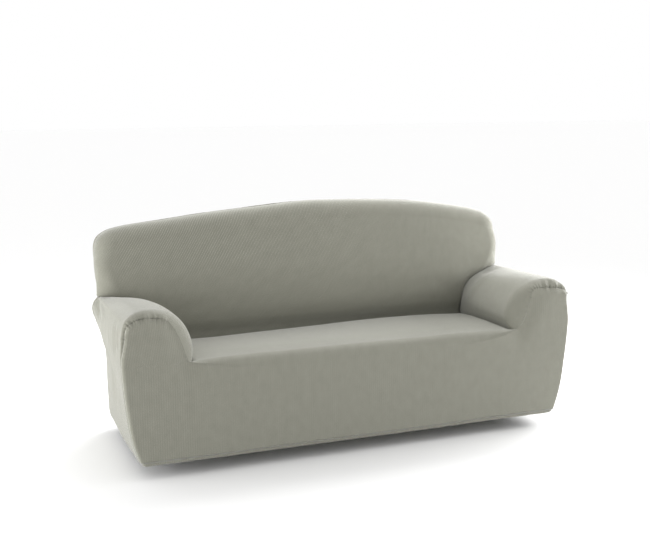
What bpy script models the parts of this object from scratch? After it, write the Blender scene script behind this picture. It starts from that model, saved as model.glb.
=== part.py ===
"""Stretch slipcover for a three-seat sofa with rolled arms, in metres, +Z up.

The cover hangs in the shape of the sofa it fits and is hollow underneath.
+X is the sitter's left arm as seen from the front, -Y is the front, and
z = 0 is the lowest line of the hem.  Five cut panels of cloth, each a thin
closed sheet:

    seat_front    seat, apron and the two arm fronts in one cloth
    arm_left      inner side, roll and outer side of the arm at -X
    arm_right     the same at +X
    inside_back   front face, top and rounded ends of the back
    outside_back  rear face from the top to the hem

Panels that are sewn together lie edge to edge with a hair's gap, and at
the creases of the seat both edges are tucked down into the gap.
"""

from math import cos, exp, hypot, pi, radians, sin, sqrt

import bmesh
import bpy
from mathutils import Vector
from mathutils.kdtree import KDTree

# ---------------------------------------------------------------- cloth
cloth_thickness = 0.002
seam_gap = 0.0009          # between the edges of two panels sewn together
seam_reach = 0.0015        # edges this close are sewn together
crease_gap = 0.0016        # from the middle of a crease to each tucked edge
crease_depth = 0.013       # how far the edges are tucked in
crease_mouth = 0.008       # how far from its middle a crease starts to turn
crease_turn = 8.0          # station where the back starts to face outwards
seat_lip = 0.003           # how far from its middle the seat's side crease turns
corner_station = 0.5       # below it the arm's rear crease is also pulled down

# ---------------------------------------------------------------- sofa form
front_to_middle = 0.3360   # from the front seams to the middle of the depth
corner_half = 0.722        # half the width of the seat at its front corners
crease_half = 0.745        # and at the crease with the back
seat_front_height = 0.3935
seat_front_radius = 0.045
front_bulge = 0.015        # the front face stands out between its seams
dimple_across = 0.05       # the front's dimples at the seat's corners
dimple_down = 0.06
crease_y = 0.545           # the crease with the back that the seat is drawn for
crease_z = 0.348
hem_half_width = 0.905
rear_bulge = 0.014
rear_blend = 0.16          # how far in the rear panel follows its side seams
rear_fine = 0.25           # and how far in its columns stay close

back_seam_y = 0.640        # seam between inside and outside back
back_flat_half = 0.880     # half the width of the back's flat face
back_end_round = 0.075     # the rounding of the back's ends, across
back_top_round = 0.068     # and of its top, upwards
back_corner_cut = 0.45     # 0 is a square top corner, 0.5 a round one
back_crown = 0.012
crown_half = 0.9           # half the width over which the back is crowned
crown_start = 0.36         # its crown grows from this height
crown_rise = 0.12          # within this much
end_fade = 0.2             # crown and folds fade this far in from the flat's ends

# ---------------------------------------------------------------- grid sizes
crease_columns_half = 0.70 # the back's columns that rise from the seat crease
lean_share = 0.75          # of its height, over which a column leans
sink_share = 0.3           # and over which it comes out of the crease
level_height = 0.80        # where a column's place across is read for its top
level_limit = 0.93
nose_start = radians(28)   # where the round of the arm's nose starts
nose_rows = 5
fine_step = 0.1            # of a station or row, for directions
arm_rows = 16
centre_columns = 10        # on each side of the middle
round_columns = 7          # of the back's columns that go round its end
back_rise_rows = 10
back_round_rows = 6

# Stations round an arm, from the seat crease over the roll to the hem.
inner_samples = (0, 0.9, 1.8, 2.7, 3.6, 4.5, 5.3)
top_samples = (6.0, 6.7, 7.4, 8.05, 8.65, 9.2)
outer_samples = (9.65, 10.0, 10.7, 11.5, 12.2, 13.0)
skirt_samples = (13.5, 14.0, 14.5, 15.0, 15.4, 15.75)
pinch_station = 10.0       # where arm, inside back and outside back meet
apron_station = 13         # level with the front corners of the seat
hem_station = 16
side_shares = (0.0, 0.18, 0.37, 0.56, 0.76, 0.94, 1.0)  # columns of an arm front

# Each row is a station of the seam round the front of an arm: across from
# the middle of the sofa and up, for the right arm and for the left.
# columns: right_x, right_z, left_x, left_z
seam_rows = (
    (0.722, 0.392, 0.722, 0.392),
    (0.744, 0.411, 0.733, 0.418),
    (0.761, 0.439, 0.743, 0.446),
    (0.773, 0.478, 0.757, 0.484),
    (0.783, 0.517, 0.775, 0.520),
    (0.793, 0.551, 0.797, 0.551),
    (0.818, 0.5625, 0.828, 0.567),
    (0.870, 0.561, 0.870, 0.572),
    (0.918, 0.557, 0.912, 0.568),
    (0.950, 0.547, 0.943, 0.552),
    (0.960, 0.526, 0.956, 0.531),
    (0.964, 0.495, 0.961, 0.499),
    (0.971, 0.450, 0.970, 0.453),
    (0.975, 0.392, 0.976, 0.392),
    (0.965, 0.262, 0.965, 0.262),
    (0.946, 0.115, 0.946, 0.115),
    (0.911, 0.000, 0.911, 0.000),
)

# The same stations: depth of the nose, the arm's section behind it, how late
# along the arm that section changes, and its end at the back.  The left arm's
# roll is fuller inside and sinks further towards the back.
# columns: nose, body_x, body_z, late, rear_x, rear_y, rear_z
left_section = (
    (0.030, 0.702, 0.388, 3.0, 0.745, 0.545, 0.348),
    (0.050, 0.693, 0.412, 3.0, 0.746, 0.541, 0.388),
    (0.065, 0.689, 0.440, 3.0, 0.748, 0.537, 0.428),
    (0.075, 0.698, 0.482, 3.0, 0.757, 0.535, 0.466),
    (0.072, 0.722, 0.528, 3.0, 0.775, 0.534, 0.498),
    (0.062, 0.760, 0.567, 2.8, 0.803, 0.535, 0.517),
    (0.050, 0.810, 0.589, 2.8, 0.840, 0.537, 0.531),
    (0.042, 0.866, 0.596, 2.8, 0.880, 0.540, 0.543),
    (0.034, 0.916, 0.589, 2.8, 0.918, 0.548, 0.553),
    (0.022, 0.951, 0.566, 2.8, 0.952, 0.580, 0.549),
    (0.014, 0.964, 0.543, 3.4, 0.938, 0.640, 0.534),
    (0.010, 0.972, 0.506, 3.0, 0.955, 0.647, 0.511),
    (0.009, 0.976, 0.456, 2.4, 0.960, 0.652, 0.478),
    (0.008, 0.978, 0.396, 1.6, 0.943, 0.658, 0.420),
    (0.008, 0.968, 0.262, 1.0, 0.911, 0.666, 0.318),
    (0.008, 0.948, 0.115, 1.6, 0.906, 0.670, 0.150),
    (0.010, 0.913, 0.000, 2.6, 0.902, 0.673, 0.000),
)
right_section = (
    (0.030, 0.702, 0.388, 3.0, 0.745, 0.545, 0.348),
    (0.050, 0.693, 0.412, 3.0, 0.746, 0.541, 0.388),
    (0.065, 0.690, 0.440, 3.0, 0.748, 0.537, 0.430),
    (0.075, 0.703, 0.480, 3.0, 0.757, 0.535, 0.468),
    (0.072, 0.730, 0.522, 3.0, 0.775, 0.534, 0.499),
    (0.062, 0.766, 0.560, 3.0, 0.803, 0.535, 0.521),
    (0.050, 0.812, 0.585, 2.2, 0.840, 0.537, 0.540),
    (0.042, 0.866, 0.594, 2.0, 0.880, 0.540, 0.556),
    (0.034, 0.916, 0.588, 2.0, 0.918, 0.548, 0.567),
    (0.022, 0.951, 0.567, 2.2, 0.951, 0.580, 0.562),
    (0.014, 0.964, 0.543, 4.0, 0.934, 0.640, 0.550),
    (0.010, 0.972, 0.506, 3.0, 0.953, 0.647, 0.524),
    (0.009, 0.976, 0.456, 2.4, 0.961, 0.652, 0.487),
    (0.008, 0.977, 0.396, 1.6, 0.944, 0.658, 0.425),
    (0.008, 0.966, 0.262, 1.0, 0.911, 0.666, 0.320),
    (0.008, 0.946, 0.115, 1.0, 0.904, 0.670, 0.150),
    (0.010, 0.911, 0.000, 1.0, 0.896, 0.673, 0.000),
)

# Soft folds in the arm panels: station and place along the arm (0 front,
# 1 rear), half-lengths both ways, slant of the fold and its height.
# columns: station, along, station_reach, along_reach, slant, height
left_folds = (
    (10.7, 0.90, 1.3, 0.050, -0.05, 0.0110),
    (10.9, 0.76, 1.2, 0.050, -0.06, -0.0050),
    (13.2, 0.62, 1.9, 0.050, 0.02, 0.0045),
    (13.0, 0.30, 1.7, 0.055, -0.02, 0.0040),
    (13.6, 0.45, 1.5, 0.045, 0.01, -0.0040),
    (4.0, 0.66, 1.6, 0.090, 0.03, 0.0050),
)
right_folds = (
    (10.7, 0.88, 1.2, 0.050, -0.05, 0.0055),
    (13.1, 0.55, 1.8, 0.055, 0.02, 0.0045),
    (13.3, 0.32, 1.6, 0.050, -0.01, -0.0035),
    (3.6, 0.70, 1.5, 0.080, -0.03, 0.0050),
    (6.6, 0.80, 1.4, 0.060, 0.02, -0.0045),
)

# The hem is turned in under the sofa's edge.
# columns: height, inset
hem_rows = ((0.011, 0.0012), (0.0, 0.0085), (0.002, 0.0185))

# The seat from the front edge to the crease.
# columns: y, z
seat_rows = (
    (0.060, 0.3960),
    (0.110, 0.3985),
    (0.165, 0.3985),
    (0.225, 0.3970),
    (0.290, 0.3945),
    (0.355, 0.3905),
    (0.420, 0.3840),
    (0.475, 0.3740),
    (0.515, 0.3610),
    (0.537, 0.3500),
)

# The crease between seat and back, from the left arm to the right one.
# columns: x, y, z
crease_rows = (
    (-0.745, 0.545, 0.348),
    (-0.550, 0.538, 0.335),
    (-0.300, 0.540, 0.338),
    (0.000, 0.545, 0.344),
    (0.300, 0.549, 0.350),
    (0.550, 0.548, 0.351),
    (0.745, 0.545, 0.348),
)

# The back by height: half its width, half its width at the rear seam, and
# how far back its front face is.
# columns: z, half, seam_half, front_y
back_rows = (
    (0.345, 0.948, 0.925, 0.545),
    (0.400, 0.951, 0.926, 0.536),
    (0.460, 0.953, 0.926, 0.530),
    (0.550, 0.957, 0.928, 0.529),
    (0.600, 0.965, 0.932, 0.533),
    (0.640, 0.973, 0.940, 0.538),
    (0.690, 0.973, 0.946, 0.547),
    (0.740, 0.958, 0.948, 0.556),
    (0.790, 0.934, 0.941, 0.565),
    (0.840, 0.911, 0.932, 0.573),
)

# The top of the back, from the left end to the right one.
# columns: x, z
top_rows = (
    (-0.960, 0.803),
    (-0.800, 0.837),
    (-0.640, 0.855),
    (-0.480, 0.872),
    (-0.320, 0.886),
    (-0.160, 0.899),
    (0.000, 0.908),
    (0.160, 0.906),
    (0.320, 0.901),
    (0.480, 0.891),
    (0.640, 0.872),
    (0.800, 0.842),
    (0.960, 0.798),
)

# Broad dents and swells of the inside back, with their height out of the face.
# columns: x, z, reach_x, reach_z, height
back_folds = (
    (-0.62, 0.56, 0.16, 0.10, 0.006),
    (0.60, 0.52, 0.18, 0.09, 0.005),
    (0.05, 0.48, 0.45, 0.07, 0.007),
    (-0.30, 0.74, 0.30, 0.08, -0.004),
    (0.35, 0.70, 0.28, 0.09, -0.004),
)


# ---------------------------------------------------------------- helpers
def smooth(value):
    """Ease from 0 to 1 with level ends."""
    value = min(max(value, 0.0), 1.0)
    return value * value * (3 - 2 * value)


def mix(low, high, part):
    return low + (high - low) * part


def along_rows(rows, place):
    """A row between the table's rows, on a smooth curve through them."""
    last = len(rows) - 1
    place = min(max(place, 0.0), float(last))
    start = min(int(place), last - 1)
    t = place - start
    before = rows[max(start - 1, 0)]
    first, second = rows[start], rows[start + 1]
    after = rows[min(start + 2, last)]
    result = []
    for p0, p1, p2, p3 in zip(before, first, second, after):
        tangent_1 = (p2 - p0) / 2
        tangent_2 = (p3 - p1) / 2
        result.append(
            (2 * t**3 - 3 * t**2 + 1) * p1
            + (t**3 - 2 * t**2 + t) * tangent_1
            + (3 * t**2 - 2 * t**3) * p2
            + (t**3 - t**2) * tangent_2
        )
    return result


def at_value(rows, value):
    """A row by the value in its first column, on a smooth curve."""
    if value <= rows[0][0]:
        return list(rows[0])
    for index in range(len(rows) - 1):
        low, high = rows[index][0], rows[index + 1][0]
        if value <= high:
            return along_rows(rows, index + (value - low) / (high - low))
    return list(rows[-1])


def edge_turn(distance, radius):
    """How far a face has turned round its edge this far in from it, 0 to 1."""
    inside = 1 - min(max(distance / radius, 0.0), 1.0)
    return sqrt(1 - inside * inside)


def coons(bottom, top, left, right):
    """Rows of points that fill four edges; left and right run upwards."""
    row_count = len(left) - 1
    rows = []
    for j, (start, end) in enumerate(zip(left, right)):
        v = j / row_count
        row = []
        for u, low, high in zip(side_shares, bottom, top):
            across = start.lerp(end, u)
            upward = low.lerp(high, v)
            corners = bottom[0].lerp(bottom[-1], u).lerp(top[0].lerp(top[-1], u), v)
            row.append(across + upward - corners)
        rows.append(row)
    return rows


# ---------------------------------------------------------------- the arms
class Arm:
    """The cloth of one arm, in front-seam coordinates (y = 0 at the front)."""

    def __init__(self, side, section, folds):
        self.side = side
        self.section = section
        first = 0 if side > 0 else 2
        self.seam = [row[first:first + 2] for row in seam_rows]
        self.folds = folds

    def seam_point(self, station):
        """A point of the seam round the arm's front."""
        x, z = along_rows(self.seam, station)
        return Vector((self.side * x, 0.0, z))

    def point(self, station, row):
        """A point of the arm: row 0 is the front seam, the last the rear."""
        seam_x, seam_z = along_rows(self.seam, station)
        section = along_rows(self.section, station)
        nose, body_x, body_z, late, rear_x, rear_y, rear_z = section
        before_x, before_z = along_rows(self.seam, station - fine_step)
        after_x, after_z = along_rows(self.seam, station + fine_step)
        run_x, run_z = after_x - before_x, after_z - before_z
        seam_x -= seam_gap * run_z / hypot(run_x, run_z)
        seam_z += seam_gap * run_x / hypot(run_x, run_z)
        if row <= nose_rows:
            angle = mix(nose_start, pi / 2, row / nose_rows)
            out = (sin(angle) - sin(nose_start)) / (1 - sin(nose_start))
            back = 1 - cos(angle) / cos(nose_start)
            x, z = mix(seam_x, body_x, out), mix(seam_z, body_z, out)
            return Vector((self.side * x, nose * back, z))
        part = (row - nose_rows) / arm_rows
        change = part ** max(late, 1.0)
        y = mix(nose, rear_y, part)
        return Vector((self.side * mix(body_x, rear_x, change), y, mix(body_z, rear_z, change)))

    def normal(self, station, row):
        """The outward direction of the cloth."""
        step = 2 * fine_step
        round_step = self.point(min(station + step, hem_station), row) - self.point(max(station - step, 0), row)
        last = nose_rows + arm_rows
        along = self.point(station, min(row + step, last)) - self.point(station, max(row - step, 0))
        return round_step.cross(along).normalized() * self.side

    def fold_height(self, station, row):
        """How far the soft folds lift the cloth."""
        along = max(row - nose_rows, 0) / arm_rows
        total = 0.0
        for centre, middle, reach, width, slant, height in self.folds:
            off = (station - centre) / reach
            across = (along - middle - slant * off) / width
            total += height * exp(-off * off - across * across)
        edge = smooth(row / nose_rows) * smooth((nose_rows + arm_rows - row) / 2.0)
        return total * edge * smooth(station / 1.5) * smooth((hem_station - station) / 1.5)

    def tuck(self, station):
        """Share of the crease's depth that the rear edge has here."""
        return smooth((pinch_station - station) / 1.6)

    def rear_edge(self, station, toward_back):
        """Mouth and tucked point of the crease with the back.

        toward_back is +1 for the inside back's edge and -1 for the arm's.
        """
        last = nose_rows + arm_rows
        place = self.point(station, last)
        before, after = max(station - fine_step, 0), min(station + fine_step, hem_station)
        along = self.point(after, last) - self.point(before, last)
        turn = smooth((station - crease_turn) / (pinch_station - crease_turn)) * pi / 2
        faces = {-1: self.normal(station, last - 1.0), 1: Vector((self.side * sin(turn), -cos(turn), 0))}
        away = faces[toward_back].cross(along).normalized() * self.side * toward_back
        depth = self.tuck(station)
        mouth = place + away * mix(seam_gap / 2, crease_mouth, depth)
        if depth == 0:
            mouth.y -= seam_gap / 2
            return mouth, mouth.copy()
        inward = -(faces[-1] + faces[1])
        if station < corner_station:
            inward.z -= 1
        inward.normalize()
        apart = along.cross(inward).normalized() * self.side * toward_back
        bottom = place + inward * crease_depth * depth
        return mouth, bottom + apart * mix(seam_gap / 2, crease_gap, depth)

    def lower_edge(self, row, toward_arm):
        """Mouth and tucked point of the crease with the seat."""
        last = nose_rows + arm_rows
        place = self.point(0, row)
        depth = smooth((row - 1.5) / (nose_rows - 1.5))
        sideways = smooth((row - 1) / 2)
        apart = Vector((self.side * sideways, 0, 1 - sideways)).normalized() * toward_arm
        closed = 0.0 if toward_arm > 0 else seam_gap
        mouth = place + apart * mix(closed, seat_lip, depth)
        bottom = place + apart * mix(closed, crease_gap, depth)
        bottom.z -= crease_depth * depth
        if row == last:
            mouth.y -= crease_mouth
            bottom.y -= crease_gap
        return mouth, bottom

    def stations(self):
        return inner_samples + top_samples + outer_samples + skirt_samples

    def grid(self):
        """Rows from the front seam to the rear, columns from seat to hem."""
        last = nose_rows + arm_rows
        rows = []
        for row in range(last + 1):
            mouth, bottom = self.lower_edge(row, 1)
            line = [bottom, mouth]
            for station in self.stations()[1:]:
                place = self.point(station, row)
                place += self.normal(station, row) * self.fold_height(station, row)
                line.append(place)
            for height, inset in hem_rows:
                line.append(tuck_hem(self.point(hem_station, row), height, inset))
            rows.append(line)
        mouths, bottoms = [], []
        for index, station in enumerate(self.stations()):
            if station <= pinch_station:
                mouth, bottom = self.rear_edge(station, -1)
            else:
                mouth = rows[-1][index + 1].copy()
                mouth.y -= seam_gap / 2
                bottom = mouth
            mouths.append(mouth)
            bottoms.append(bottom)
        hem_ends = rows[-1][-len(hem_rows):]
        for place in hem_ends:
            place.y -= seam_gap / 2
        corner = bottoms[0] + Vector((0, 0, 0))
        rows[-1] = [corner] + mouths + hem_ends
        rows.append([corner] + bottoms + hem_ends)
        return rows


def tuck_hem(place, height, inset):
    """Move a hem point in towards the middle of the sofa's outline."""
    middle = Vector((0.0, front_to_middle, 0.0))
    away = place - middle
    away.x *= 1 - inset / hem_half_width
    away.y *= 1 - inset / front_to_middle
    result = middle + away
    result.z = height
    return result


# ---------------------------------------------------------------- seat_front
def front_face_y(x, z, end, inner=corner_half):
    """The front face stands out, but turns back at its outer edge, along the
    inner seams of the arm fronts, and in a dimple where seam and crease meet."""
    outer = edge_turn(end - abs(x), front_bulge)
    across = (abs(x) - inner) / dimple_across
    up = min(z - seam_rows[0][1], 0.0) / dimple_down
    dimple = exp(-across * across - up * up)
    return -front_bulge * outer * (1 - dimple)


def seat_front_profile():
    """The middle of the seat: y and z from the apron's top to the crease."""
    low = seat_front_height - seat_front_radius
    points = []
    for step in range(nose_rows + 1):
        angle = step / nose_rows * pi / 2
        y = -front_bulge + seat_front_radius * (1 - cos(angle))
        points.append((y, low + seat_front_radius * sin(angle)))
    places = [points[-1]] + list(seat_rows)
    for step in range(1, arm_rows + 1):
        points.append(along_rows(places, step / arm_rows * len(seat_rows)))
    return points


def seat_grid(left, right):
    """Seat from its front rounding to the tucked edge at the back."""
    profile = seat_front_profile()
    rows = []
    for row, (y, z) in enumerate(profile):
        line = []
        for arm in (left, right):
            mouth, bottom = arm.lower_edge(row, -1)
            if row == 0:
                mouth = bottom = arm.seam_point(0)
            half = []
            for column in range(centre_columns):
                share = column / centre_columns
                edge = share ** 5
                x = mouth.x * share
                crease = at_value(crease_rows, x)
                rear = smooth((row - nose_rows) / arm_rows)
                y_here = y + (crease[1] - crease_y) * rear
                z_here = z + (crease[2] - crease_z) * rear
                z_here = mix(z_here, mouth.z, edge)
                front = front_face_y(x, z_here, arm.seam[apron_station][0])
                if row == 0:
                    y_here = front
                else:
                    fade = max(1 - row / nose_rows, 0.0)
                    y_here = mix(y_here + (front + front_bulge) * fade, mouth.y, edge)
                half.append(Vector((x, y_here, z_here)))
            half += [mouth, bottom]
            line = half[:0:-1] + [half[0]] if arm is left else line + half[1:]
        rows.append(line)
    tucked = []
    for place in rows[-1]:
        back_y = at_value(crease_rows, place.x)[1]
        x = min(max(place.x, -crease_half + crease_gap), crease_half - crease_gap)
        z = at_value(crease_rows, place.x)[2] - crease_depth
        tucked.append(Vector((x, back_y - crease_gap, z)))
    tucked[0] = rows[-1][0].copy()
    tucked[-1] = rows[-1][-1].copy()
    rows.append(tucked)
    return rows


def apron_grid(left, right):
    """Front face below the seat, from the hem up, across both arm fronts."""
    top_line = seat_grid(left, right)[0][1:-1]
    stations = [hem_station] + list(reversed(skirt_samples)) + [apron_station]
    rows = []
    for index, station in enumerate(stations):
        ends, flanks = [], []
        for arm in (left, right):
            corner, top_end = arm.seam_point(0), arm.seam_point(apron_station)
            end = arm.seam_point(station)
            share = end.z / top_end.z
            flank = []
            for part in side_shares[1:]:
                flank.append(Vector((mix(corner.x, end.x, part), 0, mix(corner.z, top_end.z, part) * share)))
            ends.append(end)
            flanks.append(flank)
        middle = [Vector((place.x, 0, place.z * share)) for place in top_line]
        line = flanks[0][::-1] + middle + flanks[1]
        for place in line:
            place.y = front_face_y(place.x, place.z, abs(ends[place.x > 0].x))
        if index == 0:
            for height, inset in reversed(hem_rows):
                rows.append([tuck_hem(place, height, inset) for place in line])
        else:
            rows.append(line)
    return rows


def arm_front_grid(arm):
    """Front of one arm above the seat's corner, inside its seam."""
    inner = [arm.seam_point(station) for station in inner_samples]
    top = [inner[-1]] + [arm.seam_point(station) for station in top_samples]
    outer = [arm.seam_point(station) for station in (top_samples[-1],) + outer_samples]
    outer.reverse()
    bottom = [inner[0].lerp(outer[0], share) for share in side_shares]
    rows = coons(bottom, top, inner, outer)
    for j, row in enumerate(rows):
        from_top = 1 - j / (len(rows) - 1)
        for place in row:
            keep = min(from_top * 5, 1.0)
            place.y = front_face_y(place.x, place.z, abs(row[-1].x), abs(row[0].x)) * keep
    return rows


# ---------------------------------------------------------------- inside_back
def back_face(x, z):
    """Where the front face of the back is, and its dents and swells."""
    front_y = at_value(back_rows, z)[3]
    crown = back_crown * (1 - (x / crown_half) ** 2) * smooth((z - crown_start) / crown_rise)
    swell = 0.0
    for centre_x, centre_z, reach_x, reach_z, height in back_folds:
        across, up = (x - centre_x) / reach_x, (z - centre_z) / reach_z
        swell += height * exp(-across * across - up * up)
    fade = smooth((back_flat_half - abs(x)) / end_fade)
    return front_y - crown * fade - swell * fade


def back_point(side, flat_x, round_share, z, top_share):
    """A point of the back.

    flat_x is the place across the flat face, round_share goes from 0 to 1
    round the end, z is the height on the face and top_share goes from 0 to 1
    over the top.
    """
    half, seam_half = at_value(back_rows, z)[1:3]
    angle, top_angle = round_share * pi / 2, top_share * pi / 2
    squeeze = sqrt(1 - back_corner_cut * sin(top_angle) ** 2)
    x = flat_x * (half - back_end_round) / back_flat_half
    x += back_end_round * sin(angle) * squeeze - (half - seam_half) * round_share ** 3
    rise = sin(top_share * radians(97)) * sqrt(1 - back_corner_cut * sin(angle) ** 2)
    height = z + back_top_round * rise
    face = back_face(side * min(x, back_flat_half), z)
    depth = back_seam_y - face
    y = face + depth * (1 - cos(angle) * cos(top_angle))
    return Vector((side * x, y, height))


def back_face_top(x):
    """Height at which the rounding over the top starts."""
    return at_value(top_rows, x)[1] - back_top_round


def back_half_columns(arm):
    """Columns of one half: lower edge, flat place and share of the round."""
    side = arm.side
    columns = []
    for column in range(centre_columns):
        x = side * crease_half * column / centre_columns
        crease = at_value(crease_rows, x)
        place = Vector((x, crease[1], crease[2]))
        mouth = place + Vector((0, 0, crease_mouth))
        bottom = place + Vector((0, crease_gap, -crease_depth))
        columns.append((mouth, bottom, crease_columns_half * column / centre_columns, 0.0))
    stations = [s for s in arm.stations() if s <= pinch_station]
    flat_count = len(stations) - 1 - round_columns
    for index, station in enumerate(stations):
        mouth, bottom = arm.rear_edge(station, 1)
        if index == 0:
            mouth.z += crease_mouth
        flat = mix(crease_columns_half, back_flat_half, min(index / flat_count, 1.0))
        share = max(0.0, (index - flat_count) / round_columns)
        columns.append((mouth, bottom, flat, share))
    return columns


def inside_back_grid(left, right):
    """Rows from the tucked lower edge up the face and over the top."""
    halves = []
    for arm in (left, right):
        strips = []
        for mouth, bottom, flat, share in back_half_columns(arm):
            strip = [bottom, mouth]
            edge = back_point(arm.side, flat, share, mouth.z, 0.0)
            offset = mouth - edge
            sunk = offset.y
            offset.y = 0.0
            edge_x = min(abs(back_point(arm.side, flat, share, level_height, 0.0).x), level_limit) * arm.side
            top = back_face_top(edge_x)
            for row in range(1, back_rise_rows + 1):
                part = row / back_rise_rows
                z = mix(mouth.z, top, part)
                fade = (1 - min(part / lean_share, 1.0)) ** 2
                place = back_point(arm.side, flat, share, z, 0.0) + offset * fade
                place.y += sunk * (1 - min(part / sink_share, 1.0)) ** 2
                strip.append(place)
            for row in range(1, back_round_rows + 1):
                strip.append(back_point(arm.side, flat, share, top, row / back_round_rows))
            if share == 1.0:
                for place in strip:
                    place.y -= seam_gap / 2
            else:
                strip[-1].y -= seam_gap / 2
            strips.append(strip)
        halves.append(strips)
    strips = halves[0][:0:-1] + halves[1]
    return [list(row) for row in zip(*strips)]


# ---------------------------------------------------------------- outside_back
def line_point(places, share):
    """A point part of the way along a line of straight steps."""
    steps = [(end - start).length for start, end in zip(places, places[1:])]
    left_over = share * sum(steps)
    for start, end, step in zip(places, places[1:], steps):
        if left_over <= step:
            return start.lerp(end, left_over / step)
        left_over -= step
    return places[-1].copy()


def line_shares(places):
    """How far along the line each of its points is, from 0 to 1."""
    steps = [(end - start).length for start, end in zip(places, places[1:])]
    total, shares = 0.0, [0.0]
    for step in steps:
        total += step
        shares.append(total / sum(steps))
    return shares


def outside_back_grid(left, right, inside_rows):
    """Rear panel from hem to top, its edges turned forward to the seams."""
    last = nose_rows + arm_rows
    skirt = [hem_station] + list(reversed(skirt_samples))
    stations = skirt + [s for s in reversed(outer_samples) if s >= pinch_station]
    sides = []
    for arm, column in ((left, 0), (right, -1)):
        side = []
        for station in stations:
            place = arm.point(station, last)
            side.append(Vector((place.x, place.y + seam_gap / 2, place.z)))
        for row in inside_rows[2:]:
            side.append(row[column] + Vector((0, seam_gap, 0)))
        sides.append(side)
    top = [place + Vector((0, seam_gap, 0)) for place in inside_rows[-1]]
    width, height = top[-1].x - top[0].x, (top[0].z + at_value(top_rows, 0.0)[1]) / 2
    turns = [rear_bulge * (1 - cos(radians(angle))) for angle in (30, 60, 90)]
    ups = [share for share in line_shares(sides[0]) if share < 1 - 1.3 * rear_bulge / height]
    ups += [1 - turn / height for turn in reversed(turns)] + [1.0]
    acrosses = [turn / width for turn in [0.0] + turns]
    for index, share in enumerate(line_shares(top)):
        from_side = min(share, 1 - share) * width
        if from_side > 1.3 * rear_bulge and (index % 2 == 0 or from_side < rear_fine):
            acrosses.append(share)
    acrosses += [1 - turn / width for turn in reversed([0.0] + turns)]
    foot = [sides[0][0], sides[1][0]]
    rows = []
    for up in ups:
        plumb = mix(foot[0].y, top[0].y, up)
        start, end = line_point(sides[0], up), line_point(sides[1], up)
        row = []
        for across in acrosses:
            high = line_point(top, across)
            corners = foot[0].lerp(foot[1], across).lerp(top[0].lerp(top[-1], across), up)
            low = foot[0].lerp(foot[1], across)
            place = start.lerp(end, across) + low.lerp(high, up) - corners
            from_side = min(across, 1 - across) * width
            from_top = (1 - up) * height
            place.y = mix(plumb, place.y, exp(-((from_side / rear_blend) ** 2)))
            place.y += rear_bulge * edge_turn(from_side, rear_bulge) * edge_turn(from_top, rear_bulge)
            row.append(place)
        rows.append(row)
    hems = [[tuck_hem(place, height, inset) for place in rows[0]] for height, inset in reversed(hem_rows)]
    return hems + rows[1:]


# ---------------------------------------------------------------- objects
def make_cloth(name):
    """Grey-green heather stretch fabric."""
    material = bpy.data.materials.new(name)
    material.use_nodes = True
    shader = material.node_tree.nodes["Principled BSDF"]
    shader.inputs["Base Color"].default_value = (0.33, 0.33, 0.275, 1.0)
    shader.inputs["Roughness"].default_value = 0.92
    shader.inputs["Metallic"].default_value = 0.0
    return material


def weave_sheet(grids, middle):
    """One open sheet from grids of points, its faces turned away from middle."""
    sheet = bmesh.new()
    for rows in grids:
        lines = [[sheet.verts.new(place) for place in row] for row in rows]
        for low, high in zip(lines, lines[1:]):
            for i in range(len(low) - 1):
                sheet.faces.new((low[i], low[i + 1], high[i + 1], high[i]))
    bmesh.ops.remove_doubles(sheet, verts=sheet.verts, dist=0.0001)
    bmesh.ops.triangulate(sheet, faces=sheet.faces, quad_method="SHORT_EDGE")
    sheet.verts.index_update()
    bmesh.ops.recalc_face_normals(sheet, faces=sheet.faces)
    facing = sum((face.calc_center_median() - middle).dot(face.normal) * face.calc_area() for face in sheet.faces)
    if facing < 0:
        bmesh.ops.reverse_faces(sheet, faces=sheet.faces)
    sheet.normal_update()
    return sheet


def edge_normals(sheets):
    """Normals at the panels' edges, shared by edges that are sewn together."""
    tree_size = sum(len(sheet.verts) for sheet in sheets.values())
    tree = KDTree(tree_size)
    found = []
    for name, sheet in sheets.items():
        for vert in sheet.verts:
            if vert.is_boundary:
                tree.insert(vert.co, len(found))
                found.append((name, vert.index, vert.normal.copy()))
    tree.balance()
    shared = {}
    for name, sheet in sheets.items():
        for vert in sheet.verts:
            if not vert.is_boundary:
                continue
            total = vert.normal.copy()
            for _, index, _ in tree.find_range(vert.co, seam_reach):
                other_name, _, other = found[index]
                if other_name != name and other.dot(vert.normal) > 0:
                    total += other
            shared[name, vert.index] = total.normalized()
    return shared


def make_panel(name, sheet, shared):
    """One cut panel as a closed sheet, thickened inwards from its outer face."""
    outer = list(sheet.verts)
    edges = [edge for edge in sheet.edges if edge.is_boundary]
    faces = list(sheet.faces)
    inner = []
    for vert in outer:
        normal = shared.get((name, vert.index), vert.normal)
        inner.append(sheet.verts.new(vert.co - normal * cloth_thickness))
    for face in faces:
        sheet.faces.new([inner[vert.index] for vert in reversed(face.verts)])
    for edge in edges:
        loop = edge.link_loops[0]
        start, end = loop.vert, loop.link_loop_next.vert
        sheet.faces.new((end, start, inner[start.index], inner[end.index]))
    mesh = bpy.data.meshes.new(name)
    sheet.to_mesh(mesh)
    sheet.free()
    mesh.materials.append(make_cloth(name + "_cloth"))
    mesh.shade_smooth()
    panel = bpy.data.objects.new(name, mesh)
    bpy.context.scene.collection.objects.link(panel)
    return panel


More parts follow.
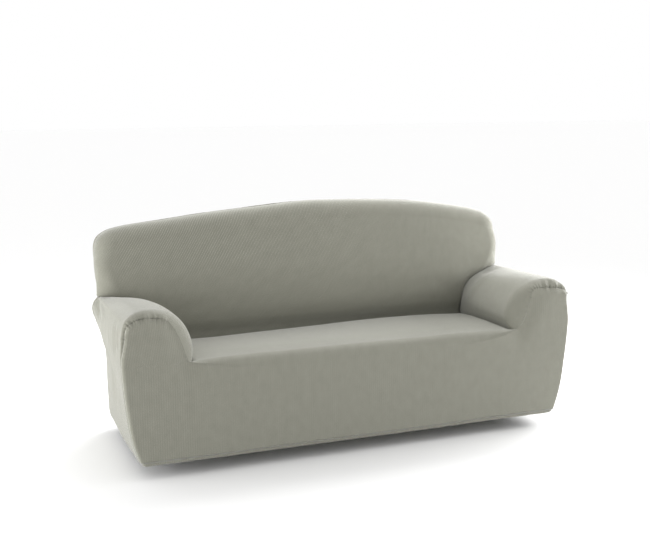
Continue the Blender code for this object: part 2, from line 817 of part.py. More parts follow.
def main():
    for leftover in list(bpy.data.objects):
        bpy.data.objects.remove(leftover, do_unlink=True)
    left, right = Arm(-1, left_section, left_folds), Arm(1, right_section, right_folds)
    inside_rows = inside_back_grid(left, right)
    front_grids = [apron_grid(left, right), seat_grid(left, right)]
    front_grids += [arm_front_grid(left), arm_front_grid(right)]
    grids = {
        "seat_front": front_grids,
        "arm_left": [left.grid()],
        "arm_right": [right.grid()],
        "inside_back": [inside_rows],
        "outside_back": [outside_back_grid(left, right, inside_rows)],
    }
    to_origin = Vector((0.0, -front_to_middle, 0.0))
    middle = Vector((0.0, 0.05, 0.25))
    sheets = {}
    for name, panel_grids in grids.items():
        moved = [[[place + to_origin for place in row] for row in rows] for rows in panel_grids]
        sheets[name] = weave_sheet(moved, middle)
    shared = edge_normals(sheets)
    for name, sheet in sheets.items():
        make_panel(name, sheet, shared)


main()
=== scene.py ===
import math

import bmesh
import bpy
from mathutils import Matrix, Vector, noise
from mathutils.kdtree import KDTree


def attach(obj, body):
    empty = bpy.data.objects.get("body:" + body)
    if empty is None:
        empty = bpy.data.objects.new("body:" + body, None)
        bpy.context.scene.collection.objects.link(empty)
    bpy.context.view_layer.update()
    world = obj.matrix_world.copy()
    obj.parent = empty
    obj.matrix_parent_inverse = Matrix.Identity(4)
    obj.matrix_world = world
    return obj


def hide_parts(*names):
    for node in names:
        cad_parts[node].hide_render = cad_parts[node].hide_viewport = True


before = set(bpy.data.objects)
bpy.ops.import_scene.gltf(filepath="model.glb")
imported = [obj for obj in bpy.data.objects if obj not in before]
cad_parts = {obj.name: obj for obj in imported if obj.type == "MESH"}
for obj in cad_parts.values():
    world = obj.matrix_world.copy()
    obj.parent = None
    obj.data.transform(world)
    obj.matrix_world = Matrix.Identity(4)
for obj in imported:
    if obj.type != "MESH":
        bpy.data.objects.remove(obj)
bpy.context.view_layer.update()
print("frame loaded:", ", ".join(sorted(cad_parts)))

bpy.ops.object.select_all(action="DESELECT")

cameraView = {
    "lens": 59.04,
    "place": (-1.7161, -4.1358, 1.4313),
    "turn": 22.198,  # degrees towards +X
    "tip": 10.327,   # degrees down
}


def makeCamera():
    lens = bpy.data.cameras.new("camera")
    lens.lens = cameraView["lens"]
    lens.sensor_width = 36.0
    camera = bpy.data.objects.new("camera", lens)
    bpy.context.scene.collection.objects.link(camera)
    camera.location = cameraView["place"]
    camera.rotation_euler = (math.radians(90 - cameraView["tip"]), 0, math.radians(-cameraView["turn"]))
    bpy.context.scene.camera = camera


makeCamera()
print("camera ready")


# the form of the sofa under the cloth: the numbers of the solids, but both gaps are narrower here
form = {
    "seamGap": 0.0001,    # between two sewn edges
    "creaseGap": 0.0004,  # from the middle of a crease to each tucked edge
    "creaseDepth": 0.013,
    "creaseMouth": 0.008,
    "creaseTurn": 8.0,
    "seatLip": 0.003,
    "frontToMiddle": 0.336,
    "cornerHalf": 0.722,
    "creaseHalf": 0.745,
    "seatFrontHeight": 0.3935,
    "seatFrontRadius": 0.045,
    "frontBulge": 0.015,
    "dimpleAcross": 0.05,
    "dimpleDown": 0.06,
    "creaseY": 0.545,
    "creaseZ": 0.348,
    "hemHalfWidth": 0.905,
    "rearBulge": 0.014,
    "rearBlend": 0.16,
    "backSeamY": 0.640,
    "backFlatHalf": 0.880,
    "backEndRound": 0.075,
    "backTopRound": 0.068,
    "backCornerCut": 0.45,
    "backCrown": 0.012,
    "crownHalf": 0.9,
    "crownStart": 0.36,
    "crownRise": 0.12,
    "endFade": 0.2,
    "creaseColumnsHalf": 0.70,
    "leanShare": 0.75,
    "sinkShare": 0.3,
    "topTurn": 97.0,     # degrees the top rounds over
    "edgeHeight": 0.80,  # where the back's half width is read for its top
    "topEdgeHalf": 0.93,
}
noseStart = math.radians(28)
noseRows = 5
bodyRows = 16
lastRow = noseRows + bodyRows
pinchStation = 10.0
apronStation = 13.0
hemStation = 16.0

# seam round an arm's front: right x, right z, left x, left z
seamRows = (
    (0.722, 0.392, 0.722, 0.392),
    (0.744, 0.411, 0.733, 0.418),
    (0.761, 0.439, 0.743, 0.446),
    (0.773, 0.478, 0.757, 0.484),
    (0.783, 0.517, 0.775, 0.520),
    (0.793, 0.551, 0.797, 0.551),
    (0.818, 0.5625, 0.828, 0.567),
    (0.870, 0.561, 0.870, 0.572),
    (0.918, 0.557, 0.912, 0.568),
    (0.950, 0.547, 0.943, 0.552),
    (0.960, 0.526, 0.956, 0.531),
    (0.964, 0.495, 0.961, 0.499),
    (0.971, 0.450, 0.970, 0.453),
    (0.975, 0.392, 0.976, 0.392),
    (0.965, 0.262, 0.965, 0.262),
    (0.946, 0.115, 0.946, 0.115),
    (0.911, 0.000, 0.911, 0.000),
)
# arms behind their noses: nose depth, x, z, how late they change, and their rear ends
leftSection = (
    (0.030, 0.702, 0.388, 3.0, 0.745, 0.545, 0.348),
    (0.050, 0.693, 0.412, 3.0, 0.746, 0.541, 0.388),
    (0.065, 0.689, 0.440, 3.0, 0.748, 0.537, 0.428),
    (0.075, 0.698, 0.482, 3.0, 0.757, 0.535, 0.466),
    (0.072, 0.722, 0.528, 3.0, 0.775, 0.534, 0.498),
    (0.062, 0.760, 0.567, 2.8, 0.803, 0.535, 0.517),
    (0.050, 0.810, 0.589, 2.8, 0.840, 0.537, 0.531),
    (0.042, 0.866, 0.596, 2.8, 0.880, 0.540, 0.543),
    (0.034, 0.916, 0.589, 2.8, 0.918, 0.548, 0.553),
    (0.022, 0.951, 0.566, 2.8, 0.952, 0.580, 0.549),
    (0.014, 0.964, 0.543, 3.4, 0.938, 0.640, 0.534),
    (0.010, 0.972, 0.506, 3.0, 0.955, 0.647, 0.511),
    (0.009, 0.976, 0.456, 2.4, 0.960, 0.652, 0.478),
    (0.008, 0.978, 0.396, 1.6, 0.943, 0.658, 0.420),
    (0.008, 0.968, 0.262, 1.0, 0.911, 0.666, 0.318),
    (0.008, 0.948, 0.115, 1.6, 0.906, 0.670, 0.150),
    (0.010, 0.913, 0.000, 2.6, 0.902, 0.673, 0.000),
)
rightSection = (
    (0.030, 0.702, 0.388, 3.0, 0.745, 0.545, 0.348),
    (0.050, 0.693, 0.412, 3.0, 0.746, 0.541, 0.388),
    (0.065, 0.690, 0.440, 3.0, 0.748, 0.537, 0.430),
    (0.075, 0.703, 0.480, 3.0, 0.757, 0.535, 0.468),
    (0.072, 0.730, 0.522, 3.0, 0.775, 0.534, 0.499),
    (0.062, 0.766, 0.560, 3.0, 0.803, 0.535, 0.521),
    (0.050, 0.812, 0.585, 2.2, 0.840, 0.537, 0.540),
    (0.042, 0.866, 0.594, 2.0, 0.880, 0.540, 0.556),
    (0.034, 0.916, 0.588, 2.0, 0.918, 0.548, 0.567),
    (0.022, 0.951, 0.567, 2.2, 0.951, 0.580, 0.562),
    (0.014, 0.964, 0.543, 4.0, 0.934, 0.640, 0.550),
    (0.010, 0.972, 0.506, 3.0, 0.953, 0.647, 0.524),
    (0.009, 0.976, 0.456, 2.4, 0.961, 0.652, 0.487),
    (0.008, 0.977, 0.396, 1.6, 0.944, 0.658, 0.425),
    (0.008, 0.966, 0.262, 1.0, 0.911, 0.666, 0.320),
    (0.008, 0.946, 0.115, 1.0, 0.904, 0.670, 0.150),
    (0.010, 0.911, 0.000, 1.0, 0.896, 0.673, 0.000),
)
# seat from the front edge back: y, z
seatRows = (
    (0.060, 0.3960),
    (0.110, 0.3985),
    (0.165, 0.3985),
    (0.225, 0.3970),
    (0.290, 0.3945),
    (0.355, 0.3905),
    (0.420, 0.3840),
    (0.475, 0.3740),
    (0.515, 0.3610),
    (0.537, 0.3500),
)
# crease between seat and back: x, y, z
creaseRows = (
    (-0.745, 0.545, 0.348),
    (-0.550, 0.538, 0.335),
    (-0.300, 0.540, 0.338),
    (0.000, 0.545, 0.344),
    (0.300, 0.549, 0.350),
    (0.550, 0.548, 0.351),
    (0.745, 0.545, 0.348),
)
# back by height: z, half width, half width at the rear seam, y of its face
backRows = (
    (0.345, 0.948, 0.925, 0.545),
    (0.400, 0.951, 0.926, 0.536),
    (0.460, 0.953, 0.926, 0.530),
    (0.550, 0.957, 0.928, 0.529),
    (0.600, 0.965, 0.932, 0.533),
    (0.640, 0.973, 0.940, 0.538),
    (0.690, 0.973, 0.946, 0.547),
    (0.740, 0.958, 0.948, 0.556),
    (0.790, 0.934, 0.941, 0.565),
    (0.840, 0.911, 0.932, 0.573),
)
# top of the back from its left end: x, z
topRows = (
    (-0.960, 0.803),
    (-0.800, 0.837),
    (-0.640, 0.855),
    (-0.480, 0.872),
    (-0.320, 0.886),
    (-0.160, 0.899),
    (0.000, 0.908),
    (0.160, 0.906),
    (0.320, 0.901),
    (0.480, 0.891),
    (0.640, 0.872),
    (0.800, 0.842),
    (0.960, 0.798),
)
# hem turned under: height, inset
hemRows = (
    (0.0190, 0.0004),
    (0.0125, 0.0013),
    (0.0065, 0.0033),
    (0.0022, 0.0064),
    (0.0002, 0.0104),
    (0.0004, 0.0146),
    (0.0020, 0.0185),
)
frontColumnShares = (0.0, 0.18, 0.37, 0.56, 0.76, 0.94, 1.0)
stationsByColumn = (0, 0.9, 1.8, 2.7, 3.6, 4.5, 5.3, 6.0, 6.7, 7.4, 8.05, 8.65, 9.2, 9.65, 10.0)
flatColumns = 7
roundColumns = 7
lipSteps = 6    # from a face, over its lip, to the tucked edge
faceSteps = 58  # up the face of the back
topSteps = 26   # over its rounded top
levelRow = 46   # row of the back whose run across measures the cloth


def smooth(value):
    value = min(max(value, 0.0), 1.0)
    return value * value * (3 - 2 * value)


def mix(low, high, part):
    return low + (high - low) * part


def spread(first, last, count):
    return [first + (last - first) * i / count for i in range(count + 1)]


def throughRows(rows, place):
    last = len(rows) - 1
    place = min(max(place, 0.0), float(last))
    start = min(int(place), last - 1)
    t = place - start
    before = rows[max(start - 1, 0)]
    after = rows[min(start + 2, last)]
    a = 2 * t**3 - 3 * t**2 + 1
    b = t**3 - 2 * t**2 + t
    c = 3 * t**2 - 2 * t**3
    d = t**3 - t**2
    return [
        a * p1 + b * (p2 - p0) / 2 + c * p2 + d * (p3 - p1) / 2
        for p0, p1, p2, p3 in zip(before, rows[start], rows[start + 1], after)
    ]


def rowAt(rows, value):
    if value <= rows[0][0]:
        return list(rows[0])
    for index in range(len(rows) - 1):
        low, high = rows[index][0], rows[index + 1][0]
        if value <= high:
            return throughRows(rows, index + (value - low) / (high - low))
    return list(rows[-1])


def edgeTurn(distance, radius):
    inside = 1 - min(max(distance / radius, 0.0), 1.0)
    return math.sqrt(1 - inside * inside)


def lipPoints(start, mouth, bottom):
    # a soft lip from the face, over the mouth of a crease, to its tucked edge
    points = []
    for i in range(1, lipSteps + 1):
        t = i / lipSteps
        points.append(start * (1 - t) ** 2 + mouth * 2 * t * (1 - t) + bottom * t * t)
    return points


def tuckHem(place, height, inset):
    middle = Vector((0.0, form["frontToMiddle"], 0.0))
    away = place - middle
    away.x *= 1 - inset / form["hemHalfWidth"]
    away.y *= 1 - inset / form["frontToMiddle"]
    result = middle + away
    result.z = height
    return result


class Arm:
    def __init__(self, side, section, folds):
        self.side = side
        self.section = section
        first = 0 if side > 0 else 2
        self.seam = [row[first:first + 2] for row in seamRows]
        self.folds = folds

    def seamPoint(self, station):
        x, z = throughRows(self.seam, station)
        return Vector((self.side * x, 0.0, z))

    def point(self, station, row):
        seamX, seamZ = throughRows(self.seam, station)
        nose, bodyX, bodyZ, late, rearX, rearY, rearZ = throughRows(self.section, station)
        if row <= noseRows:
            x0, z0 = throughRows(self.seam, station - 0.1)
            x1, z1 = throughRows(self.seam, station + 0.1)
            run = math.hypot(x1 - x0, z1 - z0)
            seamX -= form["seamGap"] * (z1 - z0) / run
            seamZ += form["seamGap"] * (x1 - x0) / run
            angle = mix(noseStart, math.pi / 2, row / noseRows)
            out = (math.sin(angle) - math.sin(noseStart)) / (1 - math.sin(noseStart))
            back = 1 - math.cos(angle) / math.cos(noseStart)
            return Vector((self.side * mix(seamX, bodyX, out), nose * back, mix(seamZ, bodyZ, out)))
        part = (row - noseRows) / bodyRows
        change = part ** max(late, 1.0)
        x, z = mix(bodyX, rearX, change), mix(bodyZ, rearZ, change)
        return Vector((self.side * x, mix(nose, rearY, part), z))

    def normal(self, station, row):
        before = self.point(max(station - 0.2, 0), row)
        after = self.point(min(station + 0.2, hemStation), row)
        along = self.point(station, min(row + 0.2, lastRow)) - self.point(station, max(row - 0.2, 0))
        return (after - before).cross(along).normalized() * self.side

    def foldHeight(self, station, row):
        along = max(row - noseRows, 0) / bodyRows
        total = 0.0
        for centre, middle, reach, width, slant, height in self.folds:
            off = (station - centre) / reach
            across = (along - middle - slant * off) / width
            total += height * math.exp(-off * off - across * across)
        edge = smooth(row / noseRows) * smooth((lastRow - row) / 2.0)
        return total * edge * smooth(station / 1.5) * smooth((hemStation - station) / 1.5)

    def rearEdge(self, station, towardBack):
        place = self.point(station, lastRow)
        if station > pinchStation:
            place.y -= form["seamGap"] / 2
            return place, place.copy()
        along = self.point(station + 0.1, lastRow) - self.point(max(station - 0.1, 0), lastRow)
        turn = smooth((station - form["creaseTurn"]) / (pinchStation - form["creaseTurn"])) * math.pi / 2
        faces = {
            -1: self.normal(station, lastRow - 1.0),
            1: Vector((self.side * math.sin(turn), -math.cos(turn), 0)),
        }
        away = faces[towardBack].cross(along).normalized() * self.side * towardBack
        depth = smooth((pinchStation - station) / 1.6)
        mouth = place + away * mix(form["seamGap"] / 2, form["creaseMouth"], depth)
        mouth.y -= form["seamGap"] / 2 * (1 - depth)
        inward = -(faces[-1] + faces[1])
        inward.z -= 1 - smooth(station)
        inward.normalize()
        apart = along.cross(inward).normalized() * self.side * towardBack
        bottom = place + inward * form["creaseDepth"] * depth
        bottom += apart * mix(form["seamGap"] / 2, form["creaseGap"], depth)
        return mouth, mix(mouth, bottom, smooth(depth * 4))

    def lowerEdge(self, row, towardArm):
        place = self.point(0, row)
        depth = smooth((row - 1.5) / (noseRows - 1.5))
        sideways = smooth((row - 1) / 2)
        apart = Vector((self.side * sideways, 0, 1 - sideways)).normalized() * towardArm
        closed = 0.0 if towardArm > 0 else form["seamGap"]
        mouth = place + apart * mix(closed, form["seatLip"], depth)
        bottom = place + apart * mix(closed, form["creaseGap"], depth)
        bottom.z -= form["creaseDepth"] * depth
        return mouth, bottom


# folds of the arms: station, place along, reach round, reach along, slant, height;
# creases: from x, y, z to x, y, z, width, height
armLeftCloth = {
    "folds": (
        (10.7, 0.90, 1.3, 0.050, -0.05, 0.0110),
        (10.9, 0.76, 1.2, 0.050, -0.06, -0.0050),
        (13.2, 0.62, 1.9, 0.050, 0.02, 0.0045),
        (13.0, 0.30, 1.7, 0.055, -0.02, 0.0040),
        (13.6, 0.45, 1.5, 0.045, 0.01, -0.0040),
        (4.0, 0.66, 1.6, 0.090, 0.03, 0.0050),
    ),
    "creases": (
        (-0.958, 0.190, 0.545, -0.966, -0.010, 0.515, 0.0110, 0.0050),
        (-0.962, 0.215, 0.525, -0.968, 0.040, 0.487, 0.0095, -0.0046),
        (-0.960, 0.230, 0.505, -0.966, 0.080, 0.457, 0.0100, 0.0042),
        (-0.945, 0.225, 0.555, -0.948, 0.110, 0.570, 0.0090, 0.0034),
        (-0.930, 0.215, 0.562, -0.925, 0.090, 0.582, 0.0090, -0.0032),
        (-0.905, 0.210, 0.566, -0.895, 0.100, 0.588, 0.0100, 0.0024),
        (-0.972, -0.250, 0.545, -0.978, -0.285, 0.430, 0.0090, 0.0042),
        (-0.970, -0.215, 0.550, -0.980, -0.255, 0.410, 0.0085, -0.0040),
        (-0.970, -0.170, 0.545, -0.980, -0.215, 0.390, 0.0110, 0.0036),
        (-0.975, -0.110, 0.520, -0.980, -0.150, 0.330, 0.0150, -0.0036),
        (-0.975, -0.040, 0.470, -0.955, -0.070, 0.140, 0.0200, 0.0042),
        (-0.972, 0.060, 0.450, -0.940, 0.020, 0.120, 0.0190, -0.0042),
        (-0.965, 0.170, 0.430, -0.925, 0.150, 0.100, 0.0200, 0.0042),
    ),
    "uneven": 0.0011,
    "hemPucker": 0.0009,
    "flat": (0.60, 0.92),
    "area": 0.52,
}
armRightCloth = {
    "folds": (
        (10.7, 0.88, 1.2, 0.050, -0.05, 0.0055),
        (13.1, 0.55, 1.8, 0.055, 0.02, 0.0045),
        (13.3, 0.32, 1.6, 0.050, -0.01, -0.0035),
        (3.6, 0.70, 1.5, 0.080, -0.03, 0.0050),
        (6.6, 0.80, 1.4, 0.060, 0.02, -0.0045),
    ),
    "creases": (
        (0.958, 0.190, 0.560, 0.966, 0.000, 0.520, 0.0100, 0.0030),
        (0.962, 0.215, 0.540, 0.968, 0.050, 0.490, 0.0090, -0.0028),
        (0.972, -0.240, 0.545, 0.978, -0.280, 0.420, 0.0100, 0.0026),
        (0.972, -0.180, 0.545, 0.980, -0.220, 0.390, 0.0110, -0.0024),
        (0.975, -0.060, 0.470, 0.955, -0.080, 0.140, 0.0200, 0.0028),
        (0.970, 0.090, 0.450, 0.935, 0.060, 0.110, 0.0200, -0.0028),
        (0.790, -0.300, 0.530, 0.735, -0.150, 0.450, 0.0250, -0.0018),
    ),
    "uneven": 0.0011,
    "hemPucker": 0.0009,
    "flat": (0.60, 0.92),
    "area": 0.52,
}
armLeft = Arm(-1, leftSection, armLeftCloth["folds"])
armRight = Arm(1, rightSection, armRightCloth["folds"])
arms = (armLeft, armRight)

innerStations = spread(0.0, 5.3, 56)
topStations = spread(5.3, 9.2, 84)
outerStations = spread(9.2, pinchStation, 14) + spread(pinchStation, apronStation, 44)[1:]
skirtStations = spread(apronStation, 15.78, 40)


def armPatch(arm):
    stations = [s for s in innerStations if s > 0.3] + topStations[1:] + outerStations[1:] + skirtStations[1:]
    places = spread(0, noseRows, 22) + spread(noseRows, 20.55, 66)[1:]
    lines, lifts = [], []
    for row in places:
        face = [arm.point(s, row) for s in stations]
        lower = lipPoints(face[0], *arm.lowerEdge(row, 1))
        hem = [tuckHem(arm.point(hemStation, row), *turn) for turn in hemRows]
        lines.append(lower[::-1] + face + hem)
        lifts.append([0.0] * len(lower) + [arm.foldHeight(s, row) for s in stations] + [0.0] * len(hem))
    inner = lines[-1]
    rear = [lipPoints(inner[lipSteps + i], *arm.rearEdge(s, -1)) for i, s in enumerate(stations)]
    foot = arm.point(hemStation, lastRow)
    foot.y -= form["seamGap"] / 2
    for step in range(lipSteps):
        line = [rear[0][step] + inner[i] - inner[lipSteps] for i in range(lipSteps)]
        line += [points[step] for points in rear]
        part = (step + 1) / lipSteps
        for i, turn in enumerate(hemRows):
            line.append(inner[i - len(hemRows)].lerp(tuckHem(foot, *turn), 1 - (1 - part) ** 2))
        lines.append(line)
        lifts.append([0.0] * len(line))
    return lines, lifts


def frontFaceY(x, z, end, inner):
    outer = edgeTurn(end - abs(x), form["frontBulge"])
    across = (abs(x) - inner) / form["dimpleAcross"]
    up = min(z - seamRows[0][1], 0.0) / form["dimpleDown"]
    return -form["frontBulge"] * outer * (1 - math.exp(-across * across - up * up))


def seatProfile(row):
    if row <= noseRows:
        angle = row / noseRows * math.pi / 2
        y = -form["frontBulge"] + form["seatFrontRadius"] * (1 - math.cos(angle))
        return y, form["seatFrontHeight"] - form["seatFrontRadius"] * (1 - math.sin(angle))
    places = [(-form["frontBulge"] + form["seatFrontRadius"], form["seatFrontHeight"])] + list(seatRows)
    return throughRows(places, (row - noseRows) / bodyRows * len(seatRows))


def seatPoint(arm, share, row):
    y, z = seatProfile(row)
    mouth = arm.seamPoint(0) if row == 0 else arm.lowerEdge(row, -1)[0]
    edge = share ** 5
    x = mouth.x * share
    _, creaseY, creaseZ = rowAt(creaseRows, x)
    rear = smooth((row - noseRows) / bodyRows)
    z = mix(z + (creaseZ - form["creaseZ"]) * rear, mouth.z, edge)
    front = frontFaceY(x, z, arm.seam[13][0], form["cornerHalf"])
    if row == 0:
        return Vector((x, front, z))
    y += (creaseY - form["creaseY"]) * rear
    y += (front + form["frontBulge"]) * max(1 - row / noseRows, 0.0)
    return Vector((x, mix(y, mouth.y, edge), z))


def seatPatch():
    shares = spread(0.0, 0.972, 76)
    lines = []
    for row in spread(0, noseRows, 26) + spread(noseRows, 20.0, 60)[1:]:
        halves = []
        for arm in arms:
            half = [seatPoint(arm, share, row) for share in shares]
            mouth, bottom = arm.lowerEdge(row, -1)
            if row == 0:
                mouth = bottom = arm.seamPoint(0)
            halves.append(half + lipPoints(half[-1], mouth, bottom))
        lines.append(halves[0][:0:-1] + halves[1])
    inner = lines[-1]
    middle = len(shares) - 1
    rear = []
    for i in range(lipSteps, len(inner) - lipSteps):
        share = shares[abs(i - lipSteps - middle)]
        arm = armLeft if i < lipSteps + middle else armRight
        mouth = seatPoint(arm, share, lastRow)
        half = form["creaseHalf"] - form["creaseGap"]
        _, creaseY, creaseZ = rowAt(creaseRows, mouth.x)
        x = min(max(mouth.x, -half), half)
        bottom = Vector((x, creaseY - form["creaseGap"], creaseZ - form["creaseDepth"]))
        rear.append(lipPoints(inner[i], mouth, bottom))
    for step in range(lipSteps):
        line = [rear[0][step] + inner[i] - inner[lipSteps] for i in range(lipSteps)]
        line += [points[step] for points in rear]
        line += [rear[-1][step] + inner[i] - inner[-lipSteps - 1] for i in range(-lipSteps, 0)]
        lines.append(line)
    return lines


def sideShares():
    count = len(topStations) - 1
    last = len(frontColumnShares) - 1
    shares = []
    for i in range(count + 1):
        place = i / count * last
        start = min(int(place), last - 1)
        shares.append(mix(frontColumnShares[start], frontColumnShares[start + 1], place - start))
    return shares


def apronLine(topLine, shares, station):
    ends, flanks = [], []
    for arm in arms:
        corner, topEnd, end = arm.seamPoint(0), arm.seamPoint(apronStation), arm.seamPoint(station)
        low = end.z / topEnd.z
        xs = [mix(corner.x, end.x, part) for part in shares]
        zs = [mix(corner.z, topEnd.z, part) * low for part in shares]
        flanks.append([Vector((x, 0, z)) for x, z in zip(xs, zs)])
        ends.append(end)
    line = flanks[0][::-1] + [Vector((place.x, 0, place.z * low)) for place in topLine] + flanks[1]
    for place in line:
        place.y = frontFaceY(place.x, place.z, abs(ends[place.x > 0].x), form["cornerHalf"])
    return line


def apronPatch(topLine):
    shares = sideShares()[1:]
    foot = apronLine(topLine, shares, hemStation)
    lines = [[tuckHem(place, *turn) for place in foot] for turn in reversed(hemRows)]
    return lines + [apronLine(topLine, shares, station) for station in reversed(skirtStations)]


def armFrontPatch(arm):
    inner = [arm.seamPoint(s) for s in innerStations]
    outer = [arm.seamPoint(s) for s in reversed(outerStations)]
    top = [arm.seamPoint(s) for s in topStations]
    shares = sideShares()
    bottom = [inner[0].lerp(outer[0], share) for share in shares]
    lines = []
    for j, (start, end) in enumerate(zip(inner, outer)):
        v = j / (len(inner) - 1)
        line = []
        for share, low, high in zip(shares, bottom, top):
            corners = bottom[0].lerp(bottom[-1], share).lerp(top[0].lerp(top[-1], share), v)
            line.append(start.lerp(end, share) + low.lerp(high, v) - corners)
        keep = smooth(min((1 - v) * 4, 1.0))
        for place in line:
            place.y = frontFaceY(place.x, place.z, abs(line[-1].x), abs(line[0].x)) * keep
        lines.append(line)
    return lines


# broad dents and swells of the back: x, z, reach across, reach up, height
insideBackCloth = {
    "folds": (
        (-0.62, 0.56, 0.16, 0.10, 0.006),
        (0.60, 0.52, 0.18, 0.09, 0.005),
        (0.05, 0.48, 0.45, 0.07, 0.007),
        (-0.30, 0.74, 0.30, 0.08, -0.004),
        (0.35, 0.70, 0.28, 0.09, -0.004),
    ),
    "creases": (
        (-0.945, 0.205, 0.585, -0.950, 0.215, 0.680, 0.0080, 0.0022),
        (-0.930, 0.200, 0.580, -0.925, 0.200, 0.660, 0.0080, -0.0022),
        (0.930, 0.200, 0.585, 0.925, 0.200, 0.670, 0.0090, -0.0018),
        (-0.700, 0.185, 0.440, -0.500, 0.190, 0.520, 0.0260, -0.0026),
        (0.700, 0.190, 0.450, 0.560, 0.190, 0.540, 0.0260, -0.0022),
    ),
    "uneven": 0.0012,
    "flat": (1.80, 0.56),
    "area": 0.93,
}


def backFace(x, z):
    crown = form["backCrown"] * (1 - (x / form["crownHalf"]) ** 2)
    crown *= smooth((z - form["crownStart"]) / form["crownRise"])
    swell = 0.0
    for centreX, centreZ, reachX, reachZ, height in insideBackCloth["folds"]:
        across, up = (x - centreX) / reachX, (z - centreZ) / reachZ
        swell += height * math.exp(-across * across - up * up)
    return rowAt(backRows, z)[3] - (crown + swell) * smooth((form["backFlatHalf"] - abs(x)) / form["endFade"])


def backPoint(side, flatX, roundShare, z, topShare):
    _, half, seamHalf, _ = rowAt(backRows, z)
    angle, topAngle = roundShare * math.pi / 2, topShare * math.pi / 2
    squeeze = math.sqrt(1 - form["backCornerCut"] * math.sin(topAngle) ** 2)
    x = flatX * (half - form["backEndRound"]) / form["backFlatHalf"]
    x += form["backEndRound"] * math.sin(angle) * squeeze - (half - seamHalf) * roundShare ** 3
    rise = math.sin(topShare * math.radians(form["topTurn"]))
    rise *= math.sqrt(1 - form["backCornerCut"] * math.sin(angle) ** 2)
    face = backFace(side * min(x, form["backFlatHalf"]), z)
    y = face + (form["backSeamY"] - face) * (1 - math.cos(angle) * math.cos(topAngle))
    return Vector((side * x, y, z + form["backTopRound"] * rise))


def backColumns(arm):
    columns = []
    count = 58
    for i in range(count):
        _, y, z = rowAt(creaseRows, arm.side * form["creaseHalf"] * i / count)
        place = Vector((arm.side * form["creaseHalf"] * i / count, y, z))
        mouth = place + Vector((0, 0, form["creaseMouth"]))
        bottom = place + Vector((0, form["creaseGap"], -form["creaseDepth"]))
        columns.append((mouth, bottom, form["creaseColumnsHalf"] * i / count, 0.0))
    for index in spread(0, flatColumns + roundColumns, 98):
        station = throughRows([(s,) for s in stationsByColumn], index)[0]
        mouth, bottom = arm.rearEdge(min(station, pinchStation), 1)
        mouth.z += form["creaseMouth"] * (1 - smooth(index * 1.5))
        flat = mix(form["creaseColumnsHalf"], form["backFlatHalf"], min(index / flatColumns, 1.0))
        columns.append((mouth, bottom, flat, max(0.0, (index - flatColumns) / roundColumns)))
    return columns


def insideBackPatch():
    halves = []
    for arm in arms:
        strips = []
        for mouth, bottom, flat, share in backColumns(arm):
            offset = mouth - backPoint(arm.side, flat, share, mouth.z, 0.0)
            sunk = offset.y
            offset.y = 0.0
            edge = backPoint(arm.side, flat, share, form["edgeHeight"], 0.0)
            edgeX = min(abs(edge.x), form["topEdgeHalf"])
            top = rowAt(topRows, arm.side * edgeX)[1] - form["backTopRound"]
            strip = []
            for part in spread(0.03, 1.0, faceSteps):
                place = backPoint(arm.side, flat, share, mix(mouth.z, top, part), 0.0)
                place += offset * (1 - min(part / form["leanShare"], 1.0)) ** 2
                place.y += sunk * (1 - min(part / form["sinkShare"], 1.0)) ** 2
                strip.append(place)
            for topShare in spread(0.0, 1.0, topSteps)[1:]:
                strip.append(backPoint(arm.side, flat, share, top, topShare))
            strip = lipPoints(strip[0], mouth, bottom)[::-1] + strip
            if share == 1.0:
                for place in strip:
                    place.y -= form["seamGap"] / 2
            else:
                strip[-1].y -= form["seamGap"] / 2
            strips.append(strip)
        halves.append(strips)
    strips = halves[0][:0:-1] + halves[1]
    return [list(line) for line in zip(*strips)]


class Line:
    def __init__(self, places):
        self.places = places
        self.marks = [0.0]
        for start, end in zip(places, places[1:]):
            self.marks.append(self.marks[-1] + (end - start).length)

    def at(self, share):
        want = share * self.marks[-1]
        low, high = 0, len(self.marks) - 1
        while high - low > 1:
            half = (low + high) // 2
            if self.marks[half] <= want:
                low = half
            else:
                high = half
        step = self.marks[high] - self.marks[low]
        return self.places[low].lerp(self.places[high], (want - self.marks[low]) / step)


